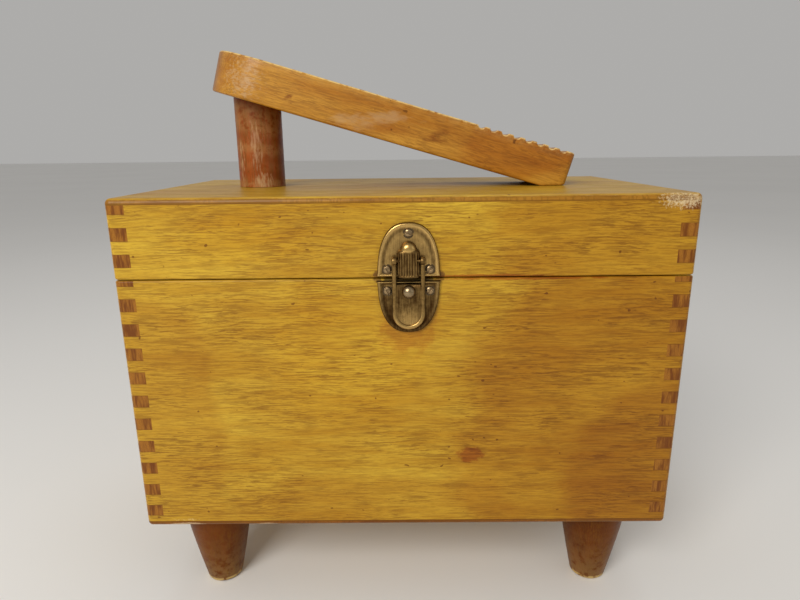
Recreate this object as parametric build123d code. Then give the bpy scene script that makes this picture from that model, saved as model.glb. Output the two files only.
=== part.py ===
from build123d import *
import os
from math import cos, pi, radians, sin, tan

# A wooden shoe-shine box on four turned feet. The case and its lid are finger-jointed frames, each closed by
# a thin glued panel. A sloping footrest, which is also the carrying handle, stands on the lid; two stop
# hinges join the lid to the case at the back, an oval snap catch closes it at the front, and a half-length
# tray slides on two runners inside. Millimetres; +X right, +Y to the back, +Z up. The origin is on the
# floor under the middle of the case.

# ---- case and lid ----
case_length = 280.0
case_depth = 162.0
body_height = 136.6          # lower half, bottom panel included
lid_height = 38.9            # lid, top panel included
lid_gap = 0.5                # saw cut left between the case and the closed lid
board = 9.4                  # thickness of the jointed boards
panel = 3.2                  # thickness of the top and bottom panels
finger = 6.35                # height of one joint finger
body_first_finger = 2.8      # part finger left at the rim by the saw cut
lid_first_finger = 4.3       # part finger left under the top panel
corner_round = 2.5
panel_round = 2.6
rim_round = 0.9

# ---- feet ----
foot_height = 50.0
foot_top_radius = 19.2
foot_bottom_radius = 10.8
foot_edge_round = 2.0
foot_inset_x = 30.7
foot_inset_y = 26.0

# ---- footrest ----
rest_slope = 16.2            # degrees
rest_length = 206.5
rest_thickness = 22.0
rest_toe_radius = 30.0       # half the width of the round toe
rest_heel_half_width = 22.0
rest_heel_corner = 4.0
rest_edge_round = 1.5
rest_heel_x = 91.6           # where the heel's end meets the lid
rest_seat_length = 14.0      # flat cut on the heel that sits on the lid
groove_count = 8
groove_pitch = 6.8
groove_from_end = 7.6
groove_radius = 1.8
groove_depth = 1.3
post_radius = 13.25
post_x = -83.6
dowel_radius = 5.0
dowel_in_post = 16.0
dowel_in_rest = 12.0
brace_thickness = 6.0
brace_half_width = 32.0
brace_left = -110.0
brace_right = 108.0
heel_screw_x = 82.0
heel_screw_y = 12.0

# ---- hinges ----
hinge_x = 88.0
leaf_width = 34.0
leaf_reach = 17.0
leaf_thickness = 1.2
hinge_pin_radius = 1.2
knuckle_width = 14.0         # the lid leaf's single middle knuckle
knuckle_gap = 0.2
pin_head_length = 0.9
lid_open_angle = 105.0       # where the stop tongue meets the case leaf
tongue_length = 6.4
leaf_screw_spread = 11.0
leaf_screw_drop = 11.5

# ---- catch ----
catch_x = 2.5
catch_half_width = 15.0
catch_half_height = 26.9
catch_outline_power = 2.5
catch_plate = 2.0
catch_plate_round = 0.7
catch_corner_round = 1.5
catch_seam = 0.4             # each plate stops this short of its rim
hood_half_width = 5.4
hood_bottom_rise = 0.9       # above the lid's rim
hood_height = 17.0
hood_proud = 3.4
hood_round = 1.6
hasp_half_width = 7.9
hasp_window_half_width = 5.7
hasp_drop = 24.9             # below the lid's rim
hasp_web_drop = 2.8          # top of the web below the window
hasp_thickness = 1.6
hasp_back_pocket = 0.9
hasp_pin_rise = 8.9          # above the lid's rim
hasp_pin_radius = 0.9
hasp_eye_radius = 1.9
hasp_lip_radius = 1.1
hasp_open_angle = 150.0
hasp_standoff = 0.4          # between the hasp's back and the plates
knob_radius = 3.2
knob_drop = 5.5
knob_sink = 1.2              # how much of the ball is below the hasp's front face
keeper_radius = 2.2
keeper_height = 0.7
keeper_drop = 12.0
tack_spread = 10.2
tack_upper_rise = 4.3
tack_top_rise = 21.8
tack_lower_drop = 5.6

# ---- tray ----
tray_length = 130.0
tray_wall = 5.0
tray_floor = 3.0
tray_height = 32.0           # floor included
tray_clearance = 0.5
tray_lift = 0.2              # running gap over the runners
tray_first_finger = 3.6
divider_thickness = 4.0
divider_below_rim = 3.0
grip_length = 40.0
grip_height = 13.0
grip_below_top = 5.0
runner_width = 6.0
runner_height = 8.0
runner_below_rim = 36.6

# ---- fasteners ----
foot_screw_radius = 2.1
foot_screw_length = 30.0
foot_screw_head_radius = 4.2
foot_screw_head = 2.6
washer_radius = 8.0
washer_thickness = 1.2
rest_screw_radius = 2.0
rest_screw_head_radius = 4.2
rest_screw_head = 2.6
heel_screw_length = 24.0
post_screw_length = 32.0
leaf_screw_radius = 1.1
leaf_screw_head_radius = 2.3
leaf_screw_head = 1.1
leaf_screw_length = 7.0
tack_radius = 0.7
tack_head_radius = 2.0
tack_head = 1.1
tack_length = 8.5
point_length_ratio = 2.0     # length of a screw's point over its radius
slot_width_ratio = 0.28      # width of a screw slot over the head's radius
slot_depth_ratio = 0.45      # depth of a screw slot over the head's height
fit_clearance = 0.05         # radial, round every shank, pin and dowel

# ---- levels and faces worked out from the sizes ----
case_bottom_z = foot_height
body_frame_z = case_bottom_z + panel
body_rim_z = case_bottom_z + body_height
lid_rim_z = body_rim_z + lid_gap
lid_top_z = lid_rim_z + lid_height
lid_frame_top_z = lid_top_z - panel
half_length = case_length / 2
half_depth = case_depth / 2
inner_half_length = half_length - board
inner_half_depth = half_depth - board
front_y = -half_depth
slope = radians(rest_slope)
hinge_barrel_radius = hinge_pin_radius + fit_clearance + leaf_thickness
hinge_axis_y = half_depth + hinge_barrel_radius
hinge_axis_z = (body_rim_z + lid_rim_z) / 2
catch_face_y = front_y - catch_plate
hasp_back_y = catch_face_y - hasp_standoff
hasp_front_y = hasp_back_y - hasp_thickness
hasp_axis_y = hasp_back_y - hasp_eye_radius
hasp_axis_z = lid_rim_z + hasp_pin_rise
runner_top_z = body_rim_z - runner_below_rim
tray_bottom_z = runner_top_z + tray_lift
tray_top_z = tray_bottom_z + tray_height
tray_left_x = -inner_half_length + tray_clearance
tray_right_x = tray_left_x + tray_length
tray_half_depth = inner_half_depth - tray_clearance
divider_top_z = tray_top_z - divider_below_rim


def block(x0, x1, y0, y1, z0, z1):
    """A box between two corners."""
    return Pos((x0 + x1) / 2, (y0 + y1) / 2, (z0 + z1) / 2) * Box(x1 - x0, y1 - y0, z1 - z0)


def rod(x, y, z, radius, length, direction):
    """A cylinder that starts at a point and runs along a direction."""
    return Plane(origin=(x, y, z), z_dir=direction) * Cylinder(radius, length, align=(Align.CENTER, Align.CENTER, Align.MIN))


def rounded_case(z0, z1, low_round, high_round):
    """The outer shape of the case or the lid: every edge sanded round."""
    shape = block(-half_length, half_length, -half_depth, half_depth, z0, z1)
    shape = fillet(shape.edges().filter_by(Axis.Z), corner_round)
    shape = fillet(shape.faces().sort_by(Axis.Z)[-1].edges(), high_round)
    return fillet(shape.faces().sort_by(Axis.Z)[0].edges(), low_round)


def finger_bands(z0, z1, first):
    """Heights at which the short boards' fingers reach through the long boards, from the top down."""
    bands = [(z1 - first, z1)]
    low = z1 - first - 2 * finger
    while low + finger > z0:
        bands.append((max(low, z0), low + finger))
        low -= 2 * finger
    return bands


def corner_fingers(x_low, x_high, y_low, y_high, wall, bands):
    """The short boards' fingers at all four corners of a frame, one block for each."""
    return [
        block(x, x + wall, y, y + wall, z0, z1)
        for x in (x_low, x_high - wall)
        for y in (y_low, y_high - wall)
        for z0, z1 in bands
    ]


def frame_boards(x_low, x_high, y_low, y_high, z0, z1, wall, first):
    """Front, back, left and right boards of a finger-jointed frame."""
    fingers = corner_fingers(x_low, x_high, y_low, y_high, wall, finger_bands(z0, z1, first))
    long_boards = [
        block(x_low, x_high, y, y + wall, z0, z1) - [f for f in fingers if y - 0.1 < f.center().Y < y + wall + 0.1]
        for y in (y_low, y_high - wall)
    ]
    short_boards = [
        block(x, x + wall, y_low + wall, y_high - wall, z0, z1)
        + [f for f in fingers if x - 0.1 < f.center().X < x + wall + 0.1]
        for x in (x_low, x_high - wall)
    ]
    return long_boards + short_boards


def foot(x, y):
    """A turned, tapered foot, drilled for its screw."""
    body = Cone(foot_bottom_radius, foot_top_radius, foot_height, align=(Align.CENTER, Align.CENTER, Align.MIN))
    body = fillet(body.faces().sort_by(Axis.Z)[0].edges(), foot_edge_round)
    depth = foot_screw_length - panel - washer_thickness
    hole = rod(0, 0, foot_height, foot_screw_radius + fit_clearance, depth + fit_clearance, (0, 0, -1))
    return Pos(x, y, 0) * (body - hole)


def screw(x, y, z, direction, shank_radius, length, head_radius, head, flat):
    """A slotted screw. The point is where the head meets what it clamps, and it is driven along the
    direction. A flat head is a cone sunk below that point; a pan head stands above it."""
    place = Plane(origin=(x, y, z), z_dir=direction)
    tip = shank_radius * point_length_ratio
    up = (Align.CENTER, Align.CENTER, Align.MIN)
    shank = Cylinder(shank_radius, length - tip, align=up)
    point = Pos(0, 0, length - tip) * Cone(shank_radius, shank_radius * 0.1, tip, align=up)
    if flat:
        cap = Cone(head_radius, shank_radius, head, align=up)
        top = 0.0
    else:
        cap = Pos(0, 0, -head) * Cylinder(head_radius, head, align=up)
        cap = fillet(cap.faces().sort_by(Axis.Z)[0].edges(), head * 0.45)
        top = -head
    slot = Pos(0, 0, top) * Box(3 * head_radius, head_radius * slot_width_ratio, 2 * head * slot_depth_ratio)
    return place * ((shank + point + cap) - slot)


def screw_hole(x, y, z, direction, shank_radius, length, head_radius=0.0, head=0.0):
    """The hole for a screw, with a countersink where its head is flat."""
    hole = rod(x, y, z, shank_radius + fit_clearance, length + fit_clearance, direction)
    if head_radius:
        sink = Cone(head_radius + fit_clearance, shank_radius + fit_clearance, head, align=(Align.CENTER, Align.CENTER, Align.MIN))
        hole = hole + Plane(origin=(x, y, z), z_dir=direction) * sink
    return hole


foot_places = {
    "front_left": (-half_length + foot_inset_x, -half_depth + foot_inset_y),
    "front_right": (half_length - foot_inset_x, -half_depth + foot_inset_y),
    "rear_left": (-half_length + foot_inset_x, half_depth - foot_inset_y),
    "rear_right": (half_length - foot_inset_x, half_depth - foot_inset_y),
}
tack_places_upper = [
    (catch_x, lid_rim_z + tack_top_rise),
    (catch_x - tack_spread, lid_rim_z + tack_upper_rise),
    (catch_x + tack_spread, lid_rim_z + tack_upper_rise),
]
tack_places_lower = [
    (catch_x - tack_spread, body_rim_z - tack_lower_drop),
    (catch_x + tack_spread, body_rim_z - tack_lower_drop),
]
leaf_screw_offsets = (-leaf_screw_spread, 0.0, leaf_screw_spread)
leaf_screw_places = {
    "case": [(x + dx, hinge_axis_z - leaf_screw_drop) for x in (-hinge_x, hinge_x) for dx in leaf_screw_offsets],
    "lid": [(x + dx, hinge_axis_z + leaf_screw_drop) for x in (-hinge_x, hinge_x) for dx in leaf_screw_offsets],
}
rest_screw_places = [
    (post_x, 0.0, post_screw_length),
    (heel_screw_x, -heel_screw_y, heel_screw_length),
    (heel_screw_x, heel_screw_y, heel_screw_length),
]
brace_bottom_z = lid_frame_top_z - brace_thickness


def tack_holes(places):
    """Holes for the catch's tacks, through the plate and into the board."""
    return [rod(x, catch_face_y, z, tack_radius + fit_clearance, tack_length, (0, 1, 0)) for x, z in places]


def leaf_screw_holes(places):
    """Holes for the hinge screws, through the leaf and into the board."""
    outside = half_depth + leaf_thickness
    return [
        screw_hole(x, outside, z, (0, -1, 0), leaf_screw_radius, leaf_screw_length, leaf_screw_head_radius, leaf_screw_head)
        for x, z in places
    ]


def rest_screw_holes():
    """Holes for the footrest's screws, through the brace and the top panel and up into the footrest."""
    return [
        screw_hole(x, y, brace_bottom_z, (0, 0, 1), rest_screw_radius, length, rest_screw_head_radius, rest_screw_head)
        for x, y, length in rest_screw_places
    ]


def case_parts():
    """The lower half: four jointed boards, the bottom panel, and the runners for the tray."""
    outer = rounded_case(case_bottom_z, body_rim_z, panel_round, rim_round)
    boards = frame_boards(
        -half_length, half_length, -half_depth, half_depth, body_frame_z, body_rim_z, board, body_first_finger
    )
    front, back, left, right = [b & outer for b in boards]
    bottom = block(-half_length, half_length, -half_depth, half_depth, case_bottom_z, body_frame_z) & outer
    for x, y in foot_places.values():
        bottom = bottom - rod(x, y, body_frame_z, foot_screw_radius + fit_clearance, panel, (0, 0, -1))
    runner_bottom_z = runner_top_z - runner_height
    return {
        "case_front": front - tack_holes(tack_places_lower),
        "case_back": back - leaf_screw_holes(leaf_screw_places["case"]),
        "case_left": left,
        "case_right": right,
        "case_bottom": bottom,
        "runner_front": block(
            -inner_half_length, inner_half_length, -inner_half_depth, -inner_half_depth + runner_width,
            runner_bottom_z, runner_top_z,
        ),
        "runner_back": block(
            -inner_half_length, inner_half_length, inner_half_depth - runner_width, inner_half_depth,
            runner_bottom_z, runner_top_z,
        ),
    }


def foot_parts():
    """The four feet, with a washer and a pan-head screw inside the case for each."""
    parts = {"foot_" + name: foot(x, y) for name, (x, y) in foot_places.items()}
    ring = Cylinder(washer_radius, washer_thickness, align=(Align.CENTER, Align.CENTER, Align.MIN))
    ring = ring - Cylinder(foot_screw_radius + fit_clearance, 4 * washer_thickness)
    parts["foot_washers"] = Compound(children=[Pos(x, y, body_frame_z) * ring for x, y in foot_places.values()])
    parts["foot_screws"] = Compound(
        children=[
            screw(
                x, y, body_frame_z + washer_thickness, (0, 0, -1),
                foot_screw_radius, foot_screw_length, foot_screw_head_radius, foot_screw_head, False,
            )
            for x, y in foot_places.values()
        ]
    )
    return parts


def lid_parts():
    """The lid: four jointed boards, the top panel and the brace under it that takes the footrest's screws."""
    outer = rounded_case(lid_rim_z, lid_top_z, rim_round, panel_round)
    boards = frame_boards(
        -half_length, half_length, -half_depth, half_depth, lid_rim_z, lid_frame_top_z, board, lid_first_finger
    )
    front, back, left, right = [b & outer for b in boards]
    top = block(-half_length, half_length, -half_depth, half_depth, lid_frame_top_z, lid_top_z) & outer
    brace = block(brace_left, brace_right, -brace_half_width, brace_half_width, brace_bottom_z, lid_frame_top_z)
    return {
        "lid_front": front - tack_holes(tack_places_upper),
        "lid_back": back - leaf_screw_holes(leaf_screw_places["lid"]),
        "lid_left": left,
        "lid_right": right,
        "lid_top": top - rest_screw_holes(),
        "lid_brace": brace - rest_screw_holes(),
    }


def rest_plane():
    """The footrest's own frame: x from the heel to the toe, z up through its thickness, on its underside."""
    sunk = rest_seat_length * sin(slope)
    origin = (rest_heel_x - sunk * sin(slope), 0, lid_top_z - sunk * cos(slope))
    return Plane(origin=origin, x_dir=(-cos(slope), 0, sin(slope)), z_dir=(sin(slope), 0, cos(slope)))


def rest_outline():
    """A sole shape: square heel with rounded corners, sides that widen, and a round toe."""
    toe_start = rest_length - rest_toe_radius
    outline = Polyline(
        (toe_start, rest_toe_radius), (0, rest_heel_half_width), (0, -rest_heel_half_width), (toe_start, -rest_toe_radius)
    )
    toe = ThreePointArc((toe_start, -rest_toe_radius), (rest_length, 0), (toe_start, rest_toe_radius))
    face = make_face(outline + toe)
    return fillet(face.vertices().sort_by(Axis.X)[:2], rest_heel_corner)


def footrest_parts():
    """The grooved, sloping footrest, the post under its toe and the dowel between them."""
    plane = rest_plane()
    rest = extrude(rest_outline(), rest_thickness)
    for level in (0, -1):
        rest = fillet(rest.faces().sort_by(Axis.Z)[level].edges(), rest_edge_round)
    for i in range(groove_count):
        along = groove_from_end + i * groove_pitch
        height = rest_thickness - groove_depth + groove_radius
        rest = rest - Pos(along, 0, height) * Rot(90, 0, 0) * Cylinder(groove_radius, 4 * rest_toe_radius)
    rest = plane * rest
    rest = rest - block(-half_length, half_length, -half_depth, half_depth, 0, lid_top_z)
    over = plane * Pos(rest_length / 2, 0, rest_length / 2) * Box(2 * rest_length, rest_length, rest_length)
    post = rod(post_x, 0, lid_top_z, post_radius, rest_length, (0, 0, 1)) - over
    seat_x = rest_heel_x - rest_seat_length
    under_z = lid_top_z + (seat_x - post_x) * tan(slope)
    dowel = rod(post_x, 0, under_z - dowel_in_post, dowel_radius, dowel_in_post + dowel_in_rest, (0, 0, 1))
    dowel = chamfer(dowel.edges(), dowel_radius / 8)
    socket = rod(
        post_x, 0, under_z - dowel_in_post - fit_clearance, dowel_radius + fit_clearance,
        dowel_in_post + dowel_in_rest + 2 * fit_clearance, (0, 0, 1),
    )
    return {
        "footrest": rest - socket - rest_screw_holes(),
        "footrest_post": post - socket - rest_screw_holes(),
        "footrest_dowel": dowel,
        "footrest_screws": Compound(
            children=[
                screw(
                    x, y, brace_bottom_z, (0, 0, 1),
                    rest_screw_radius, length, rest_screw_head_radius, rest_screw_head, True,
                )
                for x, y, length in rest_screw_places
            ]
        ),
    }


def hinge_leaf(x, up):
    """One leaf: a plate against the back, curled round the pin. The case leaf has the two outer knuckles,
    the lid leaf the middle one and the stop tongue."""
    sign = 1 if up else -1
    half = leaf_width / 2
    mid = knuckle_width / 2
    own = [(-mid, mid)] if up else [(-half, -mid - knuckle_gap), (mid + knuckle_gap, half)]
    other = [(-half, -mid), (mid, half)] if up else [(-mid - knuckle_gap, mid + knuckle_gap)]
    low, high = sorted((hinge_axis_z, hinge_axis_z + sign * leaf_reach))
    plate = block(x - half, x + half, half_depth, half_depth + leaf_thickness, low, high)
    far_corners = plate.edges().filter_by(Axis.Y).group_by(Axis.Z)[-1 if up else 0]
    plate = fillet(far_corners, leaf_thickness * 2)
    clear = hinge_barrel_radius + knuckle_gap
    for a, b in other:
        plate = plate - block(
            x + a, x + b, half_depth - 1, hinge_axis_y, hinge_axis_z - clear, hinge_axis_z + clear
        )
    for a, b in own:
        plate = plate + rod(x + a, hinge_axis_y, hinge_axis_z, hinge_barrel_radius, b - a, (1, 0, 0))
    if up:
        tongue = block(
            x - mid, x + mid, half_depth + leaf_thickness + fit_clearance, hinge_axis_y,
            hinge_axis_z - tongue_length, hinge_axis_z,
        )
        swing = Axis((x, hinge_axis_y, hinge_axis_z), (1, 0, 0))
        plate = plate + tongue.rotate(swing, lid_open_angle)
    bore = rod(x - leaf_width, hinge_axis_y, hinge_axis_z, hinge_pin_radius + fit_clearance, 2 * leaf_width, (1, 0, 0))
    return plate - bore


def hinge_parts():
    """Two stop hinges, their pins and their screws."""
    parts = {}
    for side, x in (("left", -hinge_x), ("right", hinge_x)):
        parts["hinge_leaf_case_" + side] = hinge_leaf(x, False) - leaf_screw_holes(leaf_screw_places["case"])
        parts["hinge_leaf_lid_" + side] = hinge_leaf(x, True) - leaf_screw_holes(leaf_screw_places["lid"])
        length = leaf_width + 2 * pin_head_length
        pin = rod(x - length / 2, hinge_axis_y, hinge_axis_z, hinge_pin_radius, length, (1, 0, 0))
        parts["hinge_pin_" + side] = fillet(pin.edges().filter_by(GeomType.CIRCLE), hinge_pin_radius / 2)
    outside = half_depth + leaf_thickness
    for half, places in leaf_screw_places.items():
        parts["hinge_screws_" + half] = Compound(
            children=[
                screw(
                    x, outside, z, (0, -1, 0),
                    leaf_screw_radius, leaf_screw_length, leaf_screw_head_radius, leaf_screw_head, True,
                )
                for x, z in places
            ]
        )
    return parts


def catch_outline(up):
    """Half of an oval, |x/a|^n + |z/b|^n = 1, cut off straight just short of the rim. It lies on the wood."""
    sign = 1 if up else -1
    middle = hinge_axis_z
    rim = (lid_rim_z + catch_seam) if up else (body_rim_z - catch_seam)
    steps = 12
    points = []
    for i in range(steps + 1):
        t = pi * i / steps
        x = catch_half_width * (abs(cos(t)) ** (2 / catch_outline_power)) * (1 if cos(t) >= 0 else -1)
        z = catch_half_height * (abs(sin(t)) ** (2 / catch_outline_power))
        points.append((catch_x + x, middle + sign * z))
    curve = Spline(*points, tangents=[(0, sign, 0), (0, -sign, 0)])
    oval = make_face(curve + Line(points[-1], points[0]))
    low, high = sorted((rim, middle + sign * 2 * catch_half_height))
    window = Pos(catch_x, (low + high) / 2) * Rectangle(3 * catch_half_width, high - low)
    half_oval = oval & window
    corners = half_oval.vertices().group_by(Axis.Y)[0 if up else -1]
    half_oval = fillet(corners, catch_corner_round)
    return Plane(origin=(0, front_y, 0), x_dir=(1, 0, 0), z_dir=(0, -1, 0)) * half_oval


def catch_plate_solid(up):
    """One half plate, its outer edge rounded."""
    solid = extrude(catch_outline(up), catch_plate)
    return fillet(solid.faces().sort_by(Axis.Y)[0].edges(), catch_plate_round)


def tack(x, z):
    """A dome-headed tack, driven into the wood from the plate's face."""
    dome_radius = (tack_head_radius**2 + tack_head**2) / (2 * tack_head)
    dome = Pos(0, 0, -(dome_radius - tack_head)) * Sphere(dome_radius)
    dome = dome & Pos(0, 0, tack_head) * Cylinder(2 * tack_head_radius, 2 * tack_head)
    shank = rod(0, 0, 0, tack_radius, tack_length - 2 * tack_radius, (0, 0, -1))
    point = Pos(0, 0, -tack_length) * Cone(tack_radius * 0.1, tack_radius, 2 * tack_radius, align=(Align.CENTER, Align.CENTER, Align.MIN))
    return Plane(origin=(x, catch_face_y, z), z_dir=(0, -1, 0)) * (dome + shank + point)


def hasp():
    """A forked plate: two prongs with eyes on the pin, a solid lower tongue with a turned-out lip, and a
    shallow pocket behind that clears the keeper."""
    bottom_z = lid_rim_z - hasp_drop
    end_z = bottom_z + hasp_half_width
    outline = Polyline(
        (catch_x - hasp_half_width, end_z), (catch_x - hasp_half_width, hasp_axis_z),
        (catch_x + hasp_half_width, hasp_axis_z), (catch_x + hasp_half_width, end_z),
    )
    end = ThreePointArc(
        (catch_x + hasp_half_width, end_z), (catch_x, bottom_z), (catch_x - hasp_half_width, end_z)
    )
    face = make_face(outline + end)
    back = Plane(origin=(0, hasp_back_y, 0), x_dir=(1, 0, 0), z_dir=(0, -1, 0))
    body = extrude(back * face, hasp_thickness)
    web_z = lid_rim_z - hasp_web_drop
    window = block(
        catch_x - hasp_window_half_width, catch_x + hasp_window_half_width,
        hasp_axis_y - hasp_eye_radius - 1, hasp_back_y + 1, web_z, hasp_axis_z + 2 * hasp_eye_radius,
    )
    window = fillet(window.edges().filter_by(Axis.Y).group_by(Axis.Z)[0], 2.0)
    eye = rod(catch_x - hasp_half_width, hasp_axis_y, hasp_axis_z, hasp_eye_radius, 2 * hasp_half_width, (1, 0, 0))
    rim = hasp_half_width - hasp_lip_radius
    ring = Torus(rim, hasp_lip_radius, align=Align.CENTER)
    lip = Plane(origin=(catch_x, hasp_front_y, end_z), z_dir=(0, -1, 0)) * ring
    lip = lip & block(
        catch_x - hasp_half_width, catch_x + hasp_half_width,
        hasp_front_y - hasp_lip_radius, hasp_front_y, bottom_z, bottom_z + hasp_lip_radius * 3,
    )
    pocket = block(
        catch_x - hasp_half_width + 2.0, catch_x + hasp_half_width - 2.0,
        hasp_back_y - hasp_back_pocket, hasp_back_y, bottom_z + 3.0, web_z - 6.0,
    )
    hole = rod(
        catch_x - catch_half_width, hasp_axis_y, hasp_axis_z,
        hasp_pin_radius + fit_clearance, 2 * catch_half_width, (1, 0, 0),
    )
    return (body + eye + lip) - window - pocket - hole - knob_hole()


def knob_hole():
    """The hole through the hasp for the knob's shank."""
    z = lid_rim_z - knob_drop
    return rod(catch_x, hasp_back_y + 0.1, z, tack_radius + fit_clearance, 2 * hasp_thickness, (0, -1, 0))


def hood():
    """The raised hood between the hasp's prongs, which holds their pin."""
    low = lid_rim_z + hood_bottom_rise
    shape = block(
        catch_x - hood_half_width, catch_x + hood_half_width,
        catch_face_y - hood_proud, catch_face_y, low, low + hood_height,
    )
    top_corners = shape.edges().filter_by(Axis.Y).group_by(Axis.Z)[-1]
    shape = fillet(top_corners, hood_half_width * 0.85)
    shape = fillet(shape.faces().sort_by(Axis.Y)[0].edges(), hood_round)
    hole = rod(
        catch_x - catch_half_width, hasp_axis_y, hasp_axis_z,
        hasp_pin_radius + fit_clearance, 2 * catch_half_width, (1, 0, 0),
    )
    return shape - hole


def knob():
    """A ball on the hasp's web, flattened where it seats, with a short riveted shank."""
    z = lid_rim_z - knob_drop
    ball = Pos(catch_x, hasp_front_y - knob_radius + knob_sink, z) * Sphere(knob_radius)
    seat = block(
        catch_x - 2 * knob_radius, catch_x + 2 * knob_radius, hasp_front_y, front_y,
        z - 2 * knob_radius, z + 2 * knob_radius,
    )
    shank = rod(catch_x, hasp_back_y, z, tack_radius, hasp_thickness + knob_radius / 2, (0, -1, 0))
    return (ball - seat) + shank


def keeper():
    """The low stud on the lower plate that the hasp snaps over."""
    z = lid_rim_z - keeper_drop
    dome_radius = (keeper_radius**2 + keeper_height**2) / (2 * keeper_height)
    dome = Pos(0, 0, -(dome_radius - keeper_height)) * Sphere(dome_radius)
    dome = dome & Pos(0, 0, keeper_height) * Cylinder(2 * keeper_radius, 2 * keeper_height)
    shank = rod(0, 0, 0, tack_radius, catch_plate, (0, 0, -1))
    return Plane(origin=(catch_x, catch_face_y, z), z_dir=(0, -1, 0)) * (dome + shank)


def catch_parts():
    """The oval snap catch: a plate on the lid and one on the case, their tacks, and the hasp."""
    keeper_hole = rod(
        catch_x, catch_face_y, lid_rim_z - keeper_drop, tack_radius + fit_clearance, catch_plate, (0, 1, 0)
    )
    pin = rod(catch_x - hasp_half_width, hasp_axis_y, hasp_axis_z, hasp_pin_radius, 2 * hasp_half_width, (1, 0, 0))
    return {
        "catch_plate_lid": catch_plate_solid(True) - tack_holes(tack_places_upper),
        "catch_plate_case": catch_plate_solid(False) - tack_holes(tack_places_lower) - keeper_hole,
        "catch_tacks_lid": Compound(children=[tack(x, z) for x, z in tack_places_upper]),
        "catch_tacks_case": Compound(children=[tack(x, z) for x, z in tack_places_lower]),
        "catch_hood": hood(),
        "catch_keeper": keeper(),
        "hasp": hasp(),
        "hasp_knob": knob(),
        "hasp_pin": pin,
    }


def tray_parts():
    """The sliding tray: a small finger-jointed frame on a glued floor, with two dividers."""
    frame_z = tray_bottom_z + tray_floor
    boards = frame_boards(
        tray_left_x, tray_right_x, -tray_half_depth, tray_half_depth, frame_z, tray_top_z, tray_wall, tray_first_finger
    )
    front, back, left, right = boards
    floor = block(tray_left_x, tray_right_x, -tray_half_depth, tray_half_depth, tray_bottom_z, frame_z)
    half = divider_thickness / 2
    middle_x = (tray_left_x + tray_right_x) / 2
    long_divider = block(tray_left_x + tray_wall, tray_right_x - tray_wall, -half, half, frame_z, divider_top_z)
    grip = Pos(middle_x, 0, divider_top_z - grip_below_top - grip_height / 2) * Rot(90, 0, 0)
    grip_hole = extrude(grip * SlotOverall(grip_length, grip_height), 2 * divider_thickness, both=True)
    short_x = middle_x + grip_length / 2 + divider_thickness
    short_divider = block(short_x - half, short_x + half, half, tray_half_depth - tray_wall, frame_z, divider_top_z)
    return {
        "tray_front": front,
        "tray_back": back,
        "tray_left": left,
        "tray_right": right,
        "tray_floor": floor,
        "tray_divider_long": long_divider - grip_hole,
        "tray_divider_short": short_divider,
    }


def main():
    os.makedirs("parts", exist_ok=True)
    groups = (
        case_parts(), foot_parts(), lid_parts(), footrest_parts(), hinge_parts(), catch_parts(), tray_parts()
    )
    for group in groups:
        for name, shape in group.items():
            export_step(shape, f"parts/{name}.step")


main()
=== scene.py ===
"""Looks of a finger-jointed shoe-shine box: wood, brass and the pieces shaped by formula.

Lengths are in metres in the scene and in the settings. Shapes are worked out in millimetres as whole numpy
arrays and turned into metres once, when their mesh is made.
"""

from math import cos, pi, radians, sin, tan

import bmesh
import bpy
import numpy as np
from bpy.props import FloatProperty, FloatVectorProperty, IntProperty, PointerProperty
from mathutils import Matrix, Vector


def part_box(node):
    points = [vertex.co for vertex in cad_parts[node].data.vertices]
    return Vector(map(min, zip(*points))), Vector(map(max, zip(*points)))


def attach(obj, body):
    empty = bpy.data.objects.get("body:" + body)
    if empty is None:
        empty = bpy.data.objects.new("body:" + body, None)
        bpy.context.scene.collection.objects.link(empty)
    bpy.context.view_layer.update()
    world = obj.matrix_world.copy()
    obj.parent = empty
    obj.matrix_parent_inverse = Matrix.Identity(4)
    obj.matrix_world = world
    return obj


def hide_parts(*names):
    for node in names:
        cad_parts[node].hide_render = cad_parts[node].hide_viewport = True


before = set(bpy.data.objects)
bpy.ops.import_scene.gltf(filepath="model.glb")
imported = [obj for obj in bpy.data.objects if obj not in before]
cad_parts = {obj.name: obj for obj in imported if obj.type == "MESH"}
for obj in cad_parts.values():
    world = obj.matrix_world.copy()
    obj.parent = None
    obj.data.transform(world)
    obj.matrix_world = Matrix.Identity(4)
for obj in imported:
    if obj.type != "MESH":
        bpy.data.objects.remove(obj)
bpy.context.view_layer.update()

bl_info = {
    "name": "Shoe-shine box",
    "version": (1, 0, 0),
    "blender": (4, 5, 0),
    "location": "3D View > Sidebar > Shine box",
    "description": "Builds the wood, the brass catch and the turned pieces of a shoe-shine box",
    "category": "Object",
}


# ---------------------------------------------------------------- sizes read from the frame
def corners(node):
    """Lowest and highest corner of a node, in millimetres."""
    low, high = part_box(node)
    return np.array(low) * 1000, np.array(high) * 1000


case_low, case_high = corners("case_front")
bottom_low, bottom_high = corners("case_bottom")
lid_low, lid_high = corners("lid_front")
top_low, top_high = corners("lid_top")
_, rest_high = corners("footrest")
post_low, post_high = corners("footrest_post")
foot_low, foot_high = corners("foot_front_left")
plate_low, plate_high = corners("catch_plate_lid")
lower_low, lower_high = corners("catch_plate_case")
hood_low, hood_high = corners("catch_hood")
hasp_low, hasp_high = corners("hasp")
knob_low, knob_high = corners("hasp_knob")
pin_low, pin_high = corners("hasp_pin")

half_x = bottom_high[0]
half_y = bottom_high[1]
board = case_high[1] - case_low[1]
catch_x = float(plate_low[0] + plate_high[0]) / 2
seam_z = (lid_low[2] + case_high[2]) / 2


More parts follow.
